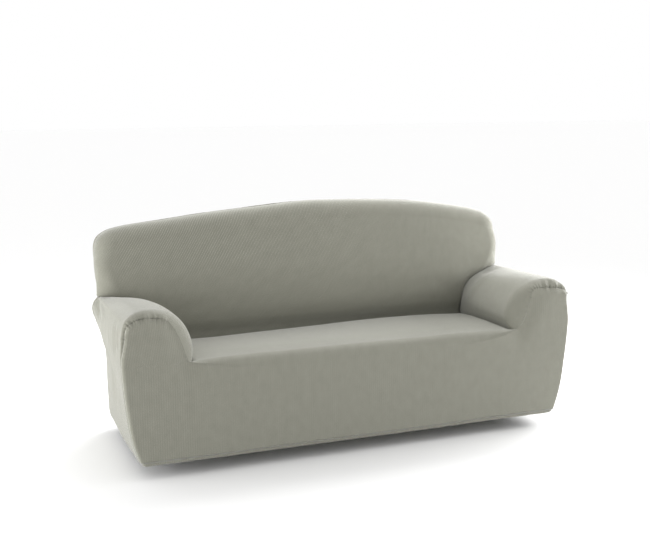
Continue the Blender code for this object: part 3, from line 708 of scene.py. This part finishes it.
def outsideBackPatch(insideLines):
    gap = Vector((0, form["seamGap"], 0))
    sides = []
    for arm, column in ((armLeft, 0), (armRight, -1)):
        side = []
        stations = [hemStation] + skirtStations[::-1]
        stations += [s for s in outerStations[-2::-1] if s >= pinchStation]
        for station in stations:
            side.append(arm.point(station, lastRow) + gap / 2)
        side += [line[column] + gap for line in insideLines[1:]]
        sides.append(Line(side))
    top = Line([place + gap for place in insideLines[-1]])
    width = top.places[-1].x - top.places[0].x
    height = (top.places[0].z + rowAt(topRows, 0.0)[1]) / 2
    bulge = form["rearBulge"]
    turns = [bulge * (1 - math.cos(math.radians(angle))) for angle in range(0, 91, 9)]
    ups = spread(0.0, 1 - 1.15 * bulge / height, 90) + [1 - turn / height for turn in reversed(turns)]
    acrosses = [turn / width for turn in turns]
    edges = [0.0165, 0.020, 0.025, 0.031, 0.038, 0.046, 0.055, 0.065, 0.077, 0.090]
    acrosses += [edge / width for edge in edges] + spread(0.105 / width, 1 - 0.105 / width, 128)
    acrosses += [1 - edge / width for edge in reversed(edges)]
    acrosses += [1 - turn / width for turn in reversed(turns)]
    foot = (sides[0].places[0], sides[1].places[0])
    lines = []
    for up in ups:
        plumb = mix(foot[0].y, top.places[0].y, up)
        start, end = sides[0].at(up), sides[1].at(up)
        line = []
        for across in acrosses:
            low = foot[0].lerp(foot[1], across)
            corners = low.lerp(top.places[0].lerp(top.places[-1], across), up)
            place = start.lerp(end, across) + low.lerp(top.at(across), up) - corners
            fromSide, fromTop = min(across, 1 - across) * width, (1 - up) * height
            place.y = mix(plumb, place.y, math.exp(-((fromSide / form["rearBlend"]) ** 2)))
            place.y += bulge * edgeTurn(fromSide, bulge) * edgeTurn(fromTop, bulge)
            line.append(place)
        lines.append(line)
    hems = [[tuckHem(place, *turn) for place in lines[0]] for turn in reversed(hemRows)]
    return hems + [line for line in lines if line[0].z > hemRows[0][0] + 0.004]


# seams as tight rows of points, to find what lies near them
class Seam:
    def __init__(self, places):
        self.tree = KDTree(len(places))
        self.marks = []
        run = 0.0
        for i, place in enumerate(places):
            if i:
                run += (place - places[i - 1]).length
            self.marks.append(run)
            self.tree.insert(place, i)
        self.tree.balance()
        self.run = run

    def near(self, place):
        _, index, distance = self.tree.find(place)
        return distance, self.marks[index]


toOrigin = Vector((0.0, -form["frontToMiddle"], 0.0))


def moved(lines):
    return [[place + toOrigin for place in line] for line in lines]


def armSeam(arm):
    return Seam([arm.seamPoint(s) + toOrigin for s in spread(0, 15.9, 1600)])


def ripple(mark, pitch, seed):
    return 2.0 * noise.noise(Vector((mark / pitch, seed, 0.31 * seed)))


# how tightly an arm's front seam is gathered, by how far along it is (0 seat, 1 hem), and its puckers
gatherCloth = {
    "left": ((0.00, 0.60), (0.04, 0.16), (0.12, 0.05), (0.17, 0.30), (0.21, 1.00), (0.36, 1.00), (0.42, 0.80),
             (0.50, 0.35), (0.62, 0.14), (1.00, 0.10)),
    "right": ((0.00, 0.50), (0.05, 0.30), (0.10, 0.42), (0.17, 0.55), (0.22, 1.10), (0.38, 1.15),
              (0.43, 0.80), (0.50, 0.30), (0.62, 0.12), (1.00, 0.10)),
    "finePitch": 0.0084,
    "fineReach": 0.0125,
    "fineHeight": 0.0034,
    "broadPitch": 0.021,
    "broadReach": 0.030,
    "broadHeight": 0.0024,
    "groove": 0.0012,
    "grooveReach": 0.0044,
    "sewn": 0.006,
    "far": 0.09,  # the seam isn't felt beyond this
    "frontPull": (1.25, 0.35),  # how hard the gathers pull on the front panel, by arm
    "armPull": (0.75, 1.35),
}


def tightness(table, share):
    for (x0, y0), (x1, y1) in zip(table, table[1:]):
        if share <= x1:
            return mix(y0, y1, smooth((share - x0) / (x1 - x0)))
    return table[-1][1]


def gatherHeight(place, seam, table, seed, pull):
    distance, mark = seam.near(place)
    if distance > gatherCloth["far"]:
        return 0.0
    tight = tightness(table, mark / seam.run)
    look = gatherCloth
    fine = ripple(mark, look["finePitch"], seed) * math.exp(-((distance / look["fineReach"]) ** 2))
    broad = ripple(mark, look["broadPitch"], seed + 5) * math.exp(-((distance / look["broadReach"]) ** 2))
    groove = look["groove"] * math.exp(-((distance / look["grooveReach"]) ** 2))
    total = look["fineHeight"] * fine + look["broadHeight"] * broad
    total *= mix(1.0, pull, smooth(distance / look["sewn"]))
    return total * tight - groove * min(tight, 1.0)


backSeamCloth = {
    "pitch": 0.0095,
    "pucker": 0.0006,
    "reach": 0.007,
    "groove": 0.0014,
    "grooveReach": 0.0045,
    "far": 0.03,
}
creaseReach = 2.6  # widths out to which a crease is felt
sewnReach = 0.0022  # edges nearer than this are sewn together
hemCloth = {"top": 0.06, "radius": 0.9, "pitch": 0.016, "reach": 0.028, "seed": 7.3}


def edgeSeamHeight(place, seam, seed):
    distance, mark = seam.near(place)
    if distance > backSeamCloth["far"]:
        return 0.0
    look = backSeamCloth
    pucker = look["pucker"] * ripple(mark, look["pitch"], seed) * math.exp(-((distance / look["reach"]) ** 2))
    return pucker - look["groove"] * math.exp(-((distance / look["grooveReach"]) ** 2))


def creaseHeight(place, creases):
    # each crease is a soft trough or ridge between two points
    total = 0.0
    for start, end, width, height in creases:
        run = end - start
        length = run.length
        along = (place - start).dot(run) / length / length
        if not 0.0 < along < 1.0:
            continue
        away = (place - start - run * along).length
        if away > creaseReach * width:
            continue
        total += height * math.exp(-((away / width) ** 2)) * smooth((1 - abs(2 * along - 1)) * 1.5)
    return total


def creaseTable(rows):
    return [(Vector(row[:3]), Vector(row[3:6]), row[6], row[7]) for row in rows]


def broadUneven(place, seed, height, size=0.25):
    spot = place / size
    return height * 1.6 * noise.noise(Vector((spot.x + seed, spot.y - seed, spot.z + 2 * seed)))


def makeSheet(patches, middle):
    # patches: (lines, lifts, across, along); lifts and the cloth's own measures ride on the points
    sheet = bmesh.new()
    liftLayer = sheet.verts.layers.float.new("lift")
    acrossLayer = sheet.verts.layers.float.new("across")
    alongLayer = sheet.verts.layers.float.new("along")
    for lines, lifts, across, along in patches:
        rows = []
        for j, line in enumerate(lines):
            row = []
            for i, place in enumerate(line):
                vert = sheet.verts.new(place)
                vert[liftLayer] = lifts[j][i]
                vert[acrossLayer] = across[j][i]
                vert[alongLayer] = along[j][i]
                row.append(vert)
            rows.append(row)
        for low, high in zip(rows, rows[1:]):
            for i in range(len(low) - 1):
                sheet.faces.new((low[i], low[i + 1], high[i + 1], high[i]))
    bmesh.ops.remove_doubles(sheet, verts=sheet.verts, dist=0.0001)
    sheet.verts.index_update()
    bmesh.ops.recalc_face_normals(sheet, faces=sheet.faces)
    facing = 0.0
    for face in sheet.faces:
        facing += (face.calc_center_median() - middle).dot(face.normal) * face.calc_area()
    if facing < 0:
        bmesh.ops.reverse_faces(sheet, faces=sheet.faces)
    sheet.normal_update()
    return sheet


def zeros(lines):
    return [[0.0] * len(line) for line in lines]


def runAcross(lines, start):
    # how far each point lies along its line from the point with this index
    result = []
    for line in lines:
        row = [0.0] * len(line)
        for i in range(start + 1, len(line)):
            row[i] = row[i - 1] + (line[i] - line[i - 1]).length
        for i in range(start - 1, -1, -1):
            row[i] = row[i + 1] - (line[i + 1] - line[i]).length
        result.append(row)
    return result


def runAlong(lines, start):
    columns = runAcross([list(column) for column in zip(*lines)], start)
    return [list(row) for row in zip(*columns)]


def flatPatch(lines, lean=0.0):
    # a patch whose ribs run straight up, or lean
    across = [[place.x - lean * place.z for place in line] for line in lines]
    along = [[place.z for place in line] for line in lines]
    return lines, zeros(lines), across, along


def sharedNormals(sheets):
    # cloth edges that are sewn together turn the same way
    found = []
    for name, sheet in sheets.items():
        for vert in sheet.verts:
            if vert.is_boundary:
                found.append((name, vert.co.copy(), vert.normal.copy()))
    tree = KDTree(len(found))
    for i, (_, place, _) in enumerate(found):
        tree.insert(place, i)
    tree.balance()
    shared = {}
    for name, sheet in sheets.items():
        for vert in sheet.verts:
            if not vert.is_boundary:
                continue
            total = vert.normal.copy()
            for _, i, _ in tree.find_range(vert.co, sewnReach):
                other, _, normal = found[i]
                if other != name and normal.dot(vert.normal) > 0:
                    total += normal
            shared[name, vert.index] = total.normalized()
    return shared


clothThickness = 0.002


def finishSheet(name, sheet, shared, detail, ribs):
    liftLayer = sheet.verts.layers.float["lift"]
    acrossLayer = sheet.verts.layers.float["across"]
    alongLayer = sheet.verts.layers.float["along"]
    showLayer = sheet.verts.layers.float.new("ribShow")
    outer = list(sheet.verts)
    for vert in outer:
        vert[showLayer] = ribs(vert.co)
    edges = [edge for edge in sheet.edges if edge.is_boundary]
    faces = list(sheet.faces)
    normals = [shared.get((name, vert.index), vert.normal).copy() for vert in outer]
    heights = [vert[liftLayer] + detail(vert.co) for vert in outer]
    for vert, normal, height in zip(outer, normals, heights):
        vert.co += normal * height
    sheet.normal_update()
    inner = []
    for vert, normal in zip(outer, normals):
        turned = normal if vert.is_boundary else vert.normal
        under = sheet.verts.new(vert.co - turned * clothThickness)
        under[acrossLayer] = vert[acrossLayer]
        under[alongLayer] = vert[alongLayer]
        under[showLayer] = vert[showLayer]
        inner.append(under)
    for face in faces:
        sheet.faces.new([inner[vert.index] for vert in reversed(face.verts)])
    for edge in edges:
        loop = edge.link_loops[0]
        start, end = loop.vert, loop.link_loop_next.vert
        sheet.faces.new((end, start, inner[start.index], inner[end.index]))
    uvLayer = sheet.loops.layers.uv.new("cloth")
    for face in sheet.faces:
        for loop in face.loops:
            loop[uvLayer].uv = (loop.vert[acrossLayer], loop.vert[alongLayer])
    mesh = bpy.data.meshes.new(name)
    sheet.to_mesh(mesh)
    sheet.free()
    for layer in ("lift", "across", "along"):
        mesh.attributes.remove(mesh.attributes[layer])
    mesh.shade_smooth()
    piece = bpy.data.objects.new(name, mesh)
    bpy.context.scene.collection.objects.link(piece)
    return piece


seatFrontCloth = {
    "creases": (
        (-0.722, -0.338, 0.385, -0.655, -0.352, 0.352, 0.0055, -0.0028),
        (-0.716, -0.340, 0.390, -0.640, -0.340, 0.377, 0.0050, 0.0024),
        (-0.715, -0.344, 0.380, -0.690, -0.352, 0.330, 0.0060, -0.0024),
        (-0.730, -0.344, 0.378, -0.735, -0.350, 0.322, 0.0060, 0.0020),
        (-0.705, -0.342, 0.382, -0.668, -0.352, 0.338, 0.0050, 0.0020),
        (-0.740, -0.340, 0.392, -0.790, -0.350, 0.372, 0.0070, -0.0016),
        (0.722, -0.338, 0.385, 0.660, -0.350, 0.362, 0.0060, -0.0022),
        (0.716, -0.340, 0.390, 0.640, -0.340, 0.380, 0.0060, 0.0018),
        (0.722, -0.344, 0.380, 0.712, -0.352, 0.325, 0.0070, -0.0018),
        (-0.690, -0.150, 0.394, -0.560, 0.060, 0.394, 0.0300, -0.0022),
        (0.690, -0.120, 0.394, 0.600, 0.090, 0.394, 0.0300, -0.0018),
    ),
    "uneven": 0.0011,
    "hemPucker": 0.0009,
    "flat": (1.80, 0.94),
    "area": 1.38,
}
outsideBackCloth = {
    "creases": (
        (-0.880, 0.330, 0.500, -0.820, 0.345, 0.250, 0.0240, -0.0030),
        (0.880, 0.330, 0.500, 0.830, 0.345, 0.230, 0.0240, -0.0030),
        (-0.450, 0.345, 0.780, -0.420, 0.350, 0.300, 0.0350, 0.0022),
        (0.380, 0.345, 0.780, 0.420, 0.350, 0.280, 0.0350, 0.0022),
    ),
    "uneven": 0.0013,
    "hemPucker": 0.0009,
    "flat": (1.78, 0.86),
    "area": 1.43,
}

frontSeams = (armSeam(armLeft), armSeam(armRight))
print("seams laid")


def hemHeight(place, pucker):
    # the hem draws in a little where its elastic is gathered
    look = hemCloth
    if place.z > look["top"]:
        return 0.0
    around = math.atan2(place.y, place.x) * look["radius"]
    return pucker * ripple(around, look["pitch"], look["seed"]) * math.exp(-((place.z / look["reach"]) ** 2))


insideLines = insideBackPatch()
seatLines = seatPatch()
print("back and seat shaped")

ribLean = {-1: 0.20, 1: 0.0}  # how far the ribs lean on each arm's front
sheets = {}
middle = Vector((0.0, 0.05, 0.25))
patches = [flatPatch(apronPatch(seatLines[0]))]
seatRun = runAlong(seatLines, 0)
for column in range(len(seatLines[0])):
    for row in range(len(seatLines)):
        seatRun[row][column] += seatLines[0][column].z
patches.append((*flatPatch(seatLines)[:3], seatRun))
for arm in arms:
    patches.append(flatPatch(armFrontPatch(arm), ribLean[arm.side]))
patches = [(moved(lines), lifts, across, along) for lines, lifts, across, along in patches]
sheets["seatFront"] = makeSheet(patches, middle)

for name, arm in (("armLeft", armLeft), ("armRight", armRight)):
    lines, lifts = armPatch(arm)
    sheets[name] = makeSheet([(moved(lines), lifts, runAlong(lines, 0), runAcross(lines, lipSteps))], middle)

centre = (len(insideLines[0]) - 1) // 2
faceTop = lipSteps + faceSteps  # the line where the back starts to round over
# ribs to each 9 mm of width, by x, and how far the ribs lean
leanCloth = {
    "density": ((-1.20, 0.80), (-0.80, 0.81), (-0.66, 0.84), (-0.56, 0.79), (-0.44, 0.70), (-0.28, 0.59),
                (-0.05, 0.56), (0.20, 0.56), (0.60, 1.0), (1.20, 1.0)),
    "lean": 0.68,
    "leanFrom": 0.60,
    "leanOver": 0.30,
    "level": 0.66,
}


def ribCount(x):
    # the density summed from the middle of the back out to x
    total, place, step = 0.0, 0.0, math.copysign(0.01, x)
    while abs(x - place) > abs(step):
        total += step * rowAt(leanCloth["density"], place + step / 2)[1]
        place += step
    return total + (x - place) * rowAt(leanCloth["density"], (x + place) / 2)[1]


def backMeasures():
    # ribs stand up at the right of the back, and lean and spread towards its left
    look = leanCloth
    level = runAcross([insideLines[levelRow]], centre)[0]
    rise = runAlong(insideLines, faceTop)
    across, along = [], []
    for j, line in enumerate(insideLines):
        rowAcross, rowAlong = [], []
        for i, place in enumerate(line):
            x = level[i]
            if abs(place.x) < form["backFlatHalf"]:
                x += place.x - insideLines[levelRow][i].x
            z = place.z if j <= faceTop else insideLines[faceTop][i].z + rise[j][i]
            lean = look["lean"] * smooth((look["leanFrom"] - x) / look["leanOver"])
            lean *= rowAt(look["density"], x)[1]
            rowAcross.append(ribCount(x) - lean * (z - look["level"]))
            rowAlong.append(z)
        across.append(rowAcross)
        along.append(rowAlong)
    return across, along


backPatchRows = (moved(insideLines), zeros(insideLines), *backMeasures())
sheets["insideBack"] = makeSheet([backPatchRows], middle)

sheets["outsideBack"] = makeSheet([flatPatch(moved(outsideBackPatch(insideLines)))], middle)
print("sheets woven:", ", ".join(f"{name} {len(sheet.verts)}" for name, sheet in sheets.items()))

topSeam = Seam([place + toOrigin for place in insideLines[-1]])
sideSeams = [Seam([line[column] + toOrigin for line in insideLines]) for column in (0, -1)]
cornerSeams = [
    Seam([arm.point(s, lastRow) + toOrigin for s in spread(pinchStation, hemStation, 600)]) for arm in arms
]


def seatFrontDetail(place):
    total = creaseHeight(place, seatFrontCloth["creases"])
    total += broadUneven(place, 1.7, seatFrontCloth["uneven"])
    seam = frontSeams[place.x > 0]
    table = gatherCloth["right" if place.x > 0 else "left"]
    pull = gatherCloth["frontPull"][place.x > 0]
    total += gatherHeight(place, seam, table, 2.0 + (place.x > 0), pull)
    return total + hemHeight(place, seatFrontCloth["hemPucker"])


def armDetail(cloth, side):
    seed = 2.0 + side
    table = gatherCloth["right" if side else "left"]

    def detail(place):
        total = creaseHeight(place, cloth["creases"])
        total += broadUneven(place, seed, cloth["uneven"])
        total += gatherHeight(place, frontSeams[side], table, seed, gatherCloth["armPull"][side])
        total += edgeSeamHeight(place, cornerSeams[side], seed + 3)
        return total + hemHeight(place, cloth["hemPucker"])

    return detail


# the back is crowned like a cushion: it falls away softly to its top and its ends
crown = {
    "height": 0.025,
    "sideFrom": 0.030,
    "sideOver": 0.125,
    "topFrom": 0.0,
    "topOver": 0.105,
    "footFrom": 0.36,
    "footOver": 0.07,
    "fullAt": 0.64,
    "lowPart": 0.50,
}


def fallAway(distance, start, over):
    beyond = max(0.0, distance - start) ** 2
    return beyond / (beyond + over * over)


def crownHeight(place):
    look = crown
    fromSide = min(seam.near(place)[0] for seam in sideSeams)
    total = look["height"] * fallAway(fromSide, look["sideFrom"], look["sideOver"])
    total *= fallAway(topSeam.near(place)[0], look["topFrom"], look["topOver"])
    total *= smooth((place.z - look["footFrom"]) / look["footOver"])
    low = smooth((look["fullAt"] - place.z) / (look["fullAt"] - look["footFrom"]))
    return total * (1 - look["lowPart"] * low)


def insideBackDetail(place):
    total = creaseHeight(place, insideBackCloth["creases"]) + crownHeight(place)
    total += broadUneven(place, 3.3, insideBackCloth["uneven"])
    total += edgeSeamHeight(place, topSeam, 8.0)
    return total + edgeSeamHeight(place, sideSeams[place.x > 0], 9.0)


def outsideBackDetail(place):
    total = creaseHeight(place, outsideBackCloth["creases"])
    total += broadUneven(place, 4.1, outsideBackCloth["uneven"])
    total += edgeSeamHeight(place, topSeam, 8.0)
    side = place.x > 0
    total += edgeSeamHeight(place, sideSeams[side], 9.0)
    total += edgeSeamHeight(place, cornerSeams[side], 2.0 + side + 3)
    return total + hemHeight(place, outsideBackCloth["hemPucker"])


for cloth in (seatFrontCloth, armLeftCloth, armRightCloth, insideBackCloth, outsideBackCloth):
    cloth["creases"] = creaseTable(cloth["creases"])

details = {
    "seatFront": seatFrontDetail,
    "armLeft": armDetail(armLeftCloth, 0),
    "armRight": armDetail(armRightCloth, 1),
    "insideBack": insideBackDetail,
    "outsideBack": outsideBackDetail,
}


# where the knit is pulled tight its ribs stand out, and elsewhere they close up; this sets both the ribs'
# lines and their painted relief shade
ribCloth = {
    "plain": 0.10,
    "frontLeft": 0.28,
    "frontFrom": -0.62,
    "frontOver": 0.12,
    "backFoot": 0.56,
    "backRise": 0.16,
    # x on the back, how much the ribs stand out
    "across": ((-0.93, 0.0), (-0.84, 0.82), (-0.74, 0.88), (-0.64, 1.0), (-0.48, 0.80), (-0.27, 0.36),
               (0.0, 0.20), (0.25, 0.0)),
}


def plainRibs(place):
    return ribCloth["plain"]


def frontRibs(place):
    look = ribCloth
    return mix(look["plain"], look["frontLeft"], smooth((look["frontFrom"] - place.x) / look["frontOver"]))


def backRibs(place):
    look = ribCloth
    show = smooth((place.z - look["backFoot"]) / look["backRise"])
    return mix(look["plain"], 1.0, show * rowAt(look["across"], place.x)[1])


ribsOf = {"seatFront": frontRibs, "insideBack": backRibs}
shared = sharedNormals(sheets)
pieces = {}
for name, sheet in sheets.items():
    pieces[name] = finishSheet(name, sheet, shared, details[name], ribsOf.get(name, plainRibs))
print("panels sewn:", ", ".join(f"{name} {len(piece.data.polygons)}" for name, piece in pieces.items()))


clothLook = {
    "ground": (0.218, 0.216, 0.176, 1.0),
    "rib": (0.388, 0.388, 0.334, 1.0),
    "pitch": 0.0090,
    "linesToPitch": 3,
    "narrow": 8.0,
    "show": 0.67,
    # painted shade of the ribs' relief: how much the ground is lightened on a standing rib and darkened
    # between ribs
    "swell": 0.092,
    "waver": 0.0016,
    "beads": 0.9,
    "mottle": 0.10,
    "melange": 0.30,
    # spots to a metre, across and along
    "waverScale": (14.0, 9.0),
    "beadScale": (210.0, 330.0),
    "fibreScale": (620.0, 360.0),
    "mottleScale": (34.0, 21.0),
    "roughness": 0.90,
    "specular": 0.25,
    "sheen": 0.45,
    "sheenRoughness": 0.45,
    "bump": 0.0004,
    "ribBump": 0.75,
    "fibreBump": 0.45,
}


class Wires:
    def __init__(self, name):
        self.material = bpy.data.materials.new(name)
        self.material.use_nodes = True
        self.tree = self.material.node_tree
        self.shader = self.tree.nodes["Principled BSDF"]

    def node(self, kind, **settings):
        node = self.tree.nodes.new(kind)
        for key, value in settings.items():
            setattr(node, key, value)
        return node

    def link(self, source, target):
        self.tree.links.new(source, target)

    def maths(self, operation, first, second=None, clamp=False):
        node = self.node("ShaderNodeMath", operation=operation, use_clamp=clamp)
        for socket, value in zip(node.inputs, (first, second)):
            if value is None:
                continue
            if isinstance(value, (int, float)):
                socket.default_value = value
            else:
                self.link(value, socket)
        return node.outputs[0]

    def place(self, x, y):
        node = self.node("ShaderNodeCombineXYZ")
        self.link(x, node.inputs[0])
        self.link(y, node.inputs[1])
        return node.outputs[0]

    def noise(self, x, y, scale, detail=2.0, roughness=0.5):
        vector = self.place(self.maths("MULTIPLY", x, scale[0]), self.maths("MULTIPLY", y, scale[1]))
        node = self.node("ShaderNodeTexNoise")
        node.inputs["Scale"].default_value = 1.0
        node.inputs["Detail"].default_value = detail
        node.inputs["Roughness"].default_value = roughness
        self.link(vector, node.inputs["Vector"])
        return node.outputs[0]

    def swing(self, value, reach):
        # a noise value made to swing about zero
        return self.maths("MULTIPLY", self.maths("SUBTRACT", value, 0.5), 2 * reach)


def ribbedKnit(name):
    # a stretch knit: thin light lines on a melange ground; each third stands out where it is stretched, and
    # the ground carries painted shade, lighter on each standing rib and darker between
    look = clothLook
    w = Wires(name)
    uv = w.node("ShaderNodeUVMap", uv_map="cloth")
    split = w.node("ShaderNodeSeparateXYZ")
    w.link(uv.outputs[0], split.inputs[0])
    x, y = split.outputs[0], split.outputs[1]
    show = w.node("ShaderNodeAttribute", attribute_name="ribShow").outputs["Fac"]
    shift = w.swing(w.noise(x, y, look["waverScale"]), look["waver"])
    turns = w.maths("MULTIPLY", w.maths("ADD", x, shift), 2 * math.pi / look["pitch"])
    stand = w.maths("MULTIPLY", w.maths("COSINE", turns), show)
    wave = w.maths("COSINE", w.maths("MULTIPLY", turns, look["linesToPitch"]))
    line = w.maths("POWER", w.maths("ADD", w.maths("MULTIPLY", wave, 0.5), 0.5, clamp=True), look["narrow"])
    line = w.maths("MULTIPLY", line, w.maths("ADD", w.maths("MULTIPLY", stand, look["show"]), 1.0))
    beads = w.maths("ADD", w.swing(w.noise(x, y, look["beadScale"]), look["beads"]), 1.0)
    rib = w.maths("MULTIPLY", line, beads)
    fibre = w.noise(x, y, look["fibreScale"], 3.0, 0.6)
    mottle = w.noise(x, y, look["mottleScale"], 3.0)
    yarn = w.node("ShaderNodeMix", data_type="RGBA", clamp_factor=False)
    yarn.inputs["A"].default_value = look["ground"]
    yarn.inputs["B"].default_value = look["rib"]
    w.link(rib, yarn.inputs["Factor"])
    flecks = w.swing(fibre, look["melange"])
    clouds = w.swing(mottle, look["mottle"])
    # painted shade: the ground lighter on standing ribs and darker between, in place of their relief's light
    # and shade
    swell = w.maths("MULTIPLY", stand, look["swell"])
    toneAndRibShade = w.maths("ADD", w.maths("ADD", w.maths("ADD", flecks, clouds), swell), 1.0)
    shade = w.node("ShaderNodeVectorMath", operation="SCALE")
    w.link(yarn.outputs["Result"], shade.inputs[0])
    w.link(toneAndRibShade, shade.inputs["Scale"])
    w.link(shade.outputs[0], w.shader.inputs["Base Color"])
    ridges = w.maths("MULTIPLY", rib, look["ribBump"])
    knit = w.maths("ADD", ridges, w.maths("MULTIPLY", fibre, look["fibreBump"]))
    bump = w.node("ShaderNodeBump")
    bump.inputs["Strength"].default_value = 1.0
    bump.inputs["Distance"].default_value = look["bump"]
    w.link(knit, bump.inputs["Height"])
    w.link(bump.outputs[0], w.shader.inputs["Normal"])
    w.shader.inputs["Roughness"].default_value = look["roughness"]
    w.shader.inputs["Specular IOR Level"].default_value = look["specular"]
    w.shader.inputs["Sheen Weight"].default_value = look["sheen"]
    w.shader.inputs["Sheen Roughness"].default_value = look["sheenRoughness"]
    return w.material


nodeOf = {
    "seatFront": "seat_front",
    "armLeft": "arm_left",
    "armRight": "arm_right",
    "insideBack": "inside_back",
    "outsideBack": "outside_back",
}
for name, piece in pieces.items():
    piece.data.materials.append(ribbedKnit(name + "Knit"))
    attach(piece, "root")
    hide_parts(nodeOf[name])
print("cloth dressed")


studio = {
    "floorLevel": -0.055,
    # painted shade: the floor's colour near the sofa, darker than far off
    "nearFloorShade": (0.87, 0.87, 0.868, 1.0),
    "farColour": (0.985, 0.985, 0.984, 1.0),
    "nearEnd": 1.3,
    "farStart": 3.2,
    "fill": 1.0,
    # light: place, aim, size, watts
    "lights": {
        "leftSoftbox": ((-2.6, 0.0, 0.40), (-0.95, 0.0, 0.28), 1.0, 26.0),
        "leftRearSoftbox": ((-2.2, 1.6, 1.0), (-0.9, 0.1, 0.5), 1.0, 3.0),
        "topRearSoftbox": ((0.4, 1.3, 2.2), (0.0, 0.1, 0.6), 1.4, 40.0),
        "rightRearSoftbox": ((1.9, 1.7, 1.25), (0.92, 0.1, 0.6), 0.8, 34.0),
        "rightSoftbox": ((2.9, 0.35, 1.0), (0.95, 0.1, 0.7), 1.0, 52.0),
        "rightNearSoftbox": ((2.3, -0.5, 0.95), (0.85, 0.15, 0.75), 0.7, 14.0),
    },
}


def setStage():
    bpy.ops.mesh.primitive_plane_add(size=60.0, location=(0.0, 0.0, studio["floorLevel"]))
    floor = bpy.context.object
    floor.name = "floor"
    floor.data.name = "floor"
    paper = bpy.data.materials.new("paper")
    paper.use_nodes = True
    shader = paper.node_tree.nodes["Principled BSDF"]
    shader.inputs["Roughness"].default_value = 0.8
    # painted shade: the floor's colour is darker round the sofa, offsetting the softboxes' pool of light
    # there and damping the light it throws back onto the cover
    nodes, links = paper.node_tree.nodes, paper.node_tree.links
    coords = nodes.new("ShaderNodeTexCoord")
    away = nodes.new("ShaderNodeVectorMath")
    away.operation = "LENGTH"
    links.new(coords.outputs["Object"], away.inputs[0])
    fade = nodes.new("ShaderNodeMapRange")
    fade.interpolation_type = "SMOOTHSTEP"
    fade.inputs["From Min"].default_value = studio["nearEnd"]
    fade.inputs["From Max"].default_value = studio["farStart"]
    links.new(away.outputs["Value"], fade.inputs["Value"])
    floorShadeMix = nodes.new("ShaderNodeMix")
    floorShadeMix.data_type = "RGBA"
    floorShadeMix.inputs["A"].default_value = studio["nearFloorShade"]
    floorShadeMix.inputs["B"].default_value = studio["farColour"]
    links.new(fade.outputs["Result"], floorShadeMix.inputs["Factor"])
    links.new(floorShadeMix.outputs["Result"], shader.inputs["Base Color"])
    floor.data.materials.append(paper)
    for name, (place, aim, size, watts) in studio["lights"].items():
        lamp = bpy.data.lights.new(name, "AREA")
        lamp.shape = "SQUARE"
        lamp.size = size
        lamp.energy = watts
        light = bpy.data.objects.new(name, lamp)
        light.visible_camera = False
        light.location = place
        light.rotation_euler = (Vector(aim) - Vector(place)).to_track_quat("-Z", "Y").to_euler()
        bpy.context.scene.collection.objects.link(light)
    world = bpy.data.worlds.new("studio")
    world.use_nodes = True
    background = world.node_tree.nodes["Background"]
    background.inputs["Color"].default_value = (1.0, 1.0, 1.0, 1.0)
    background.inputs["Strength"].default_value = studio["fill"]
    bpy.context.scene.world = world
    bpy.context.scene.view_settings.view_transform = "Standard"


setStage()
print("studio lit")
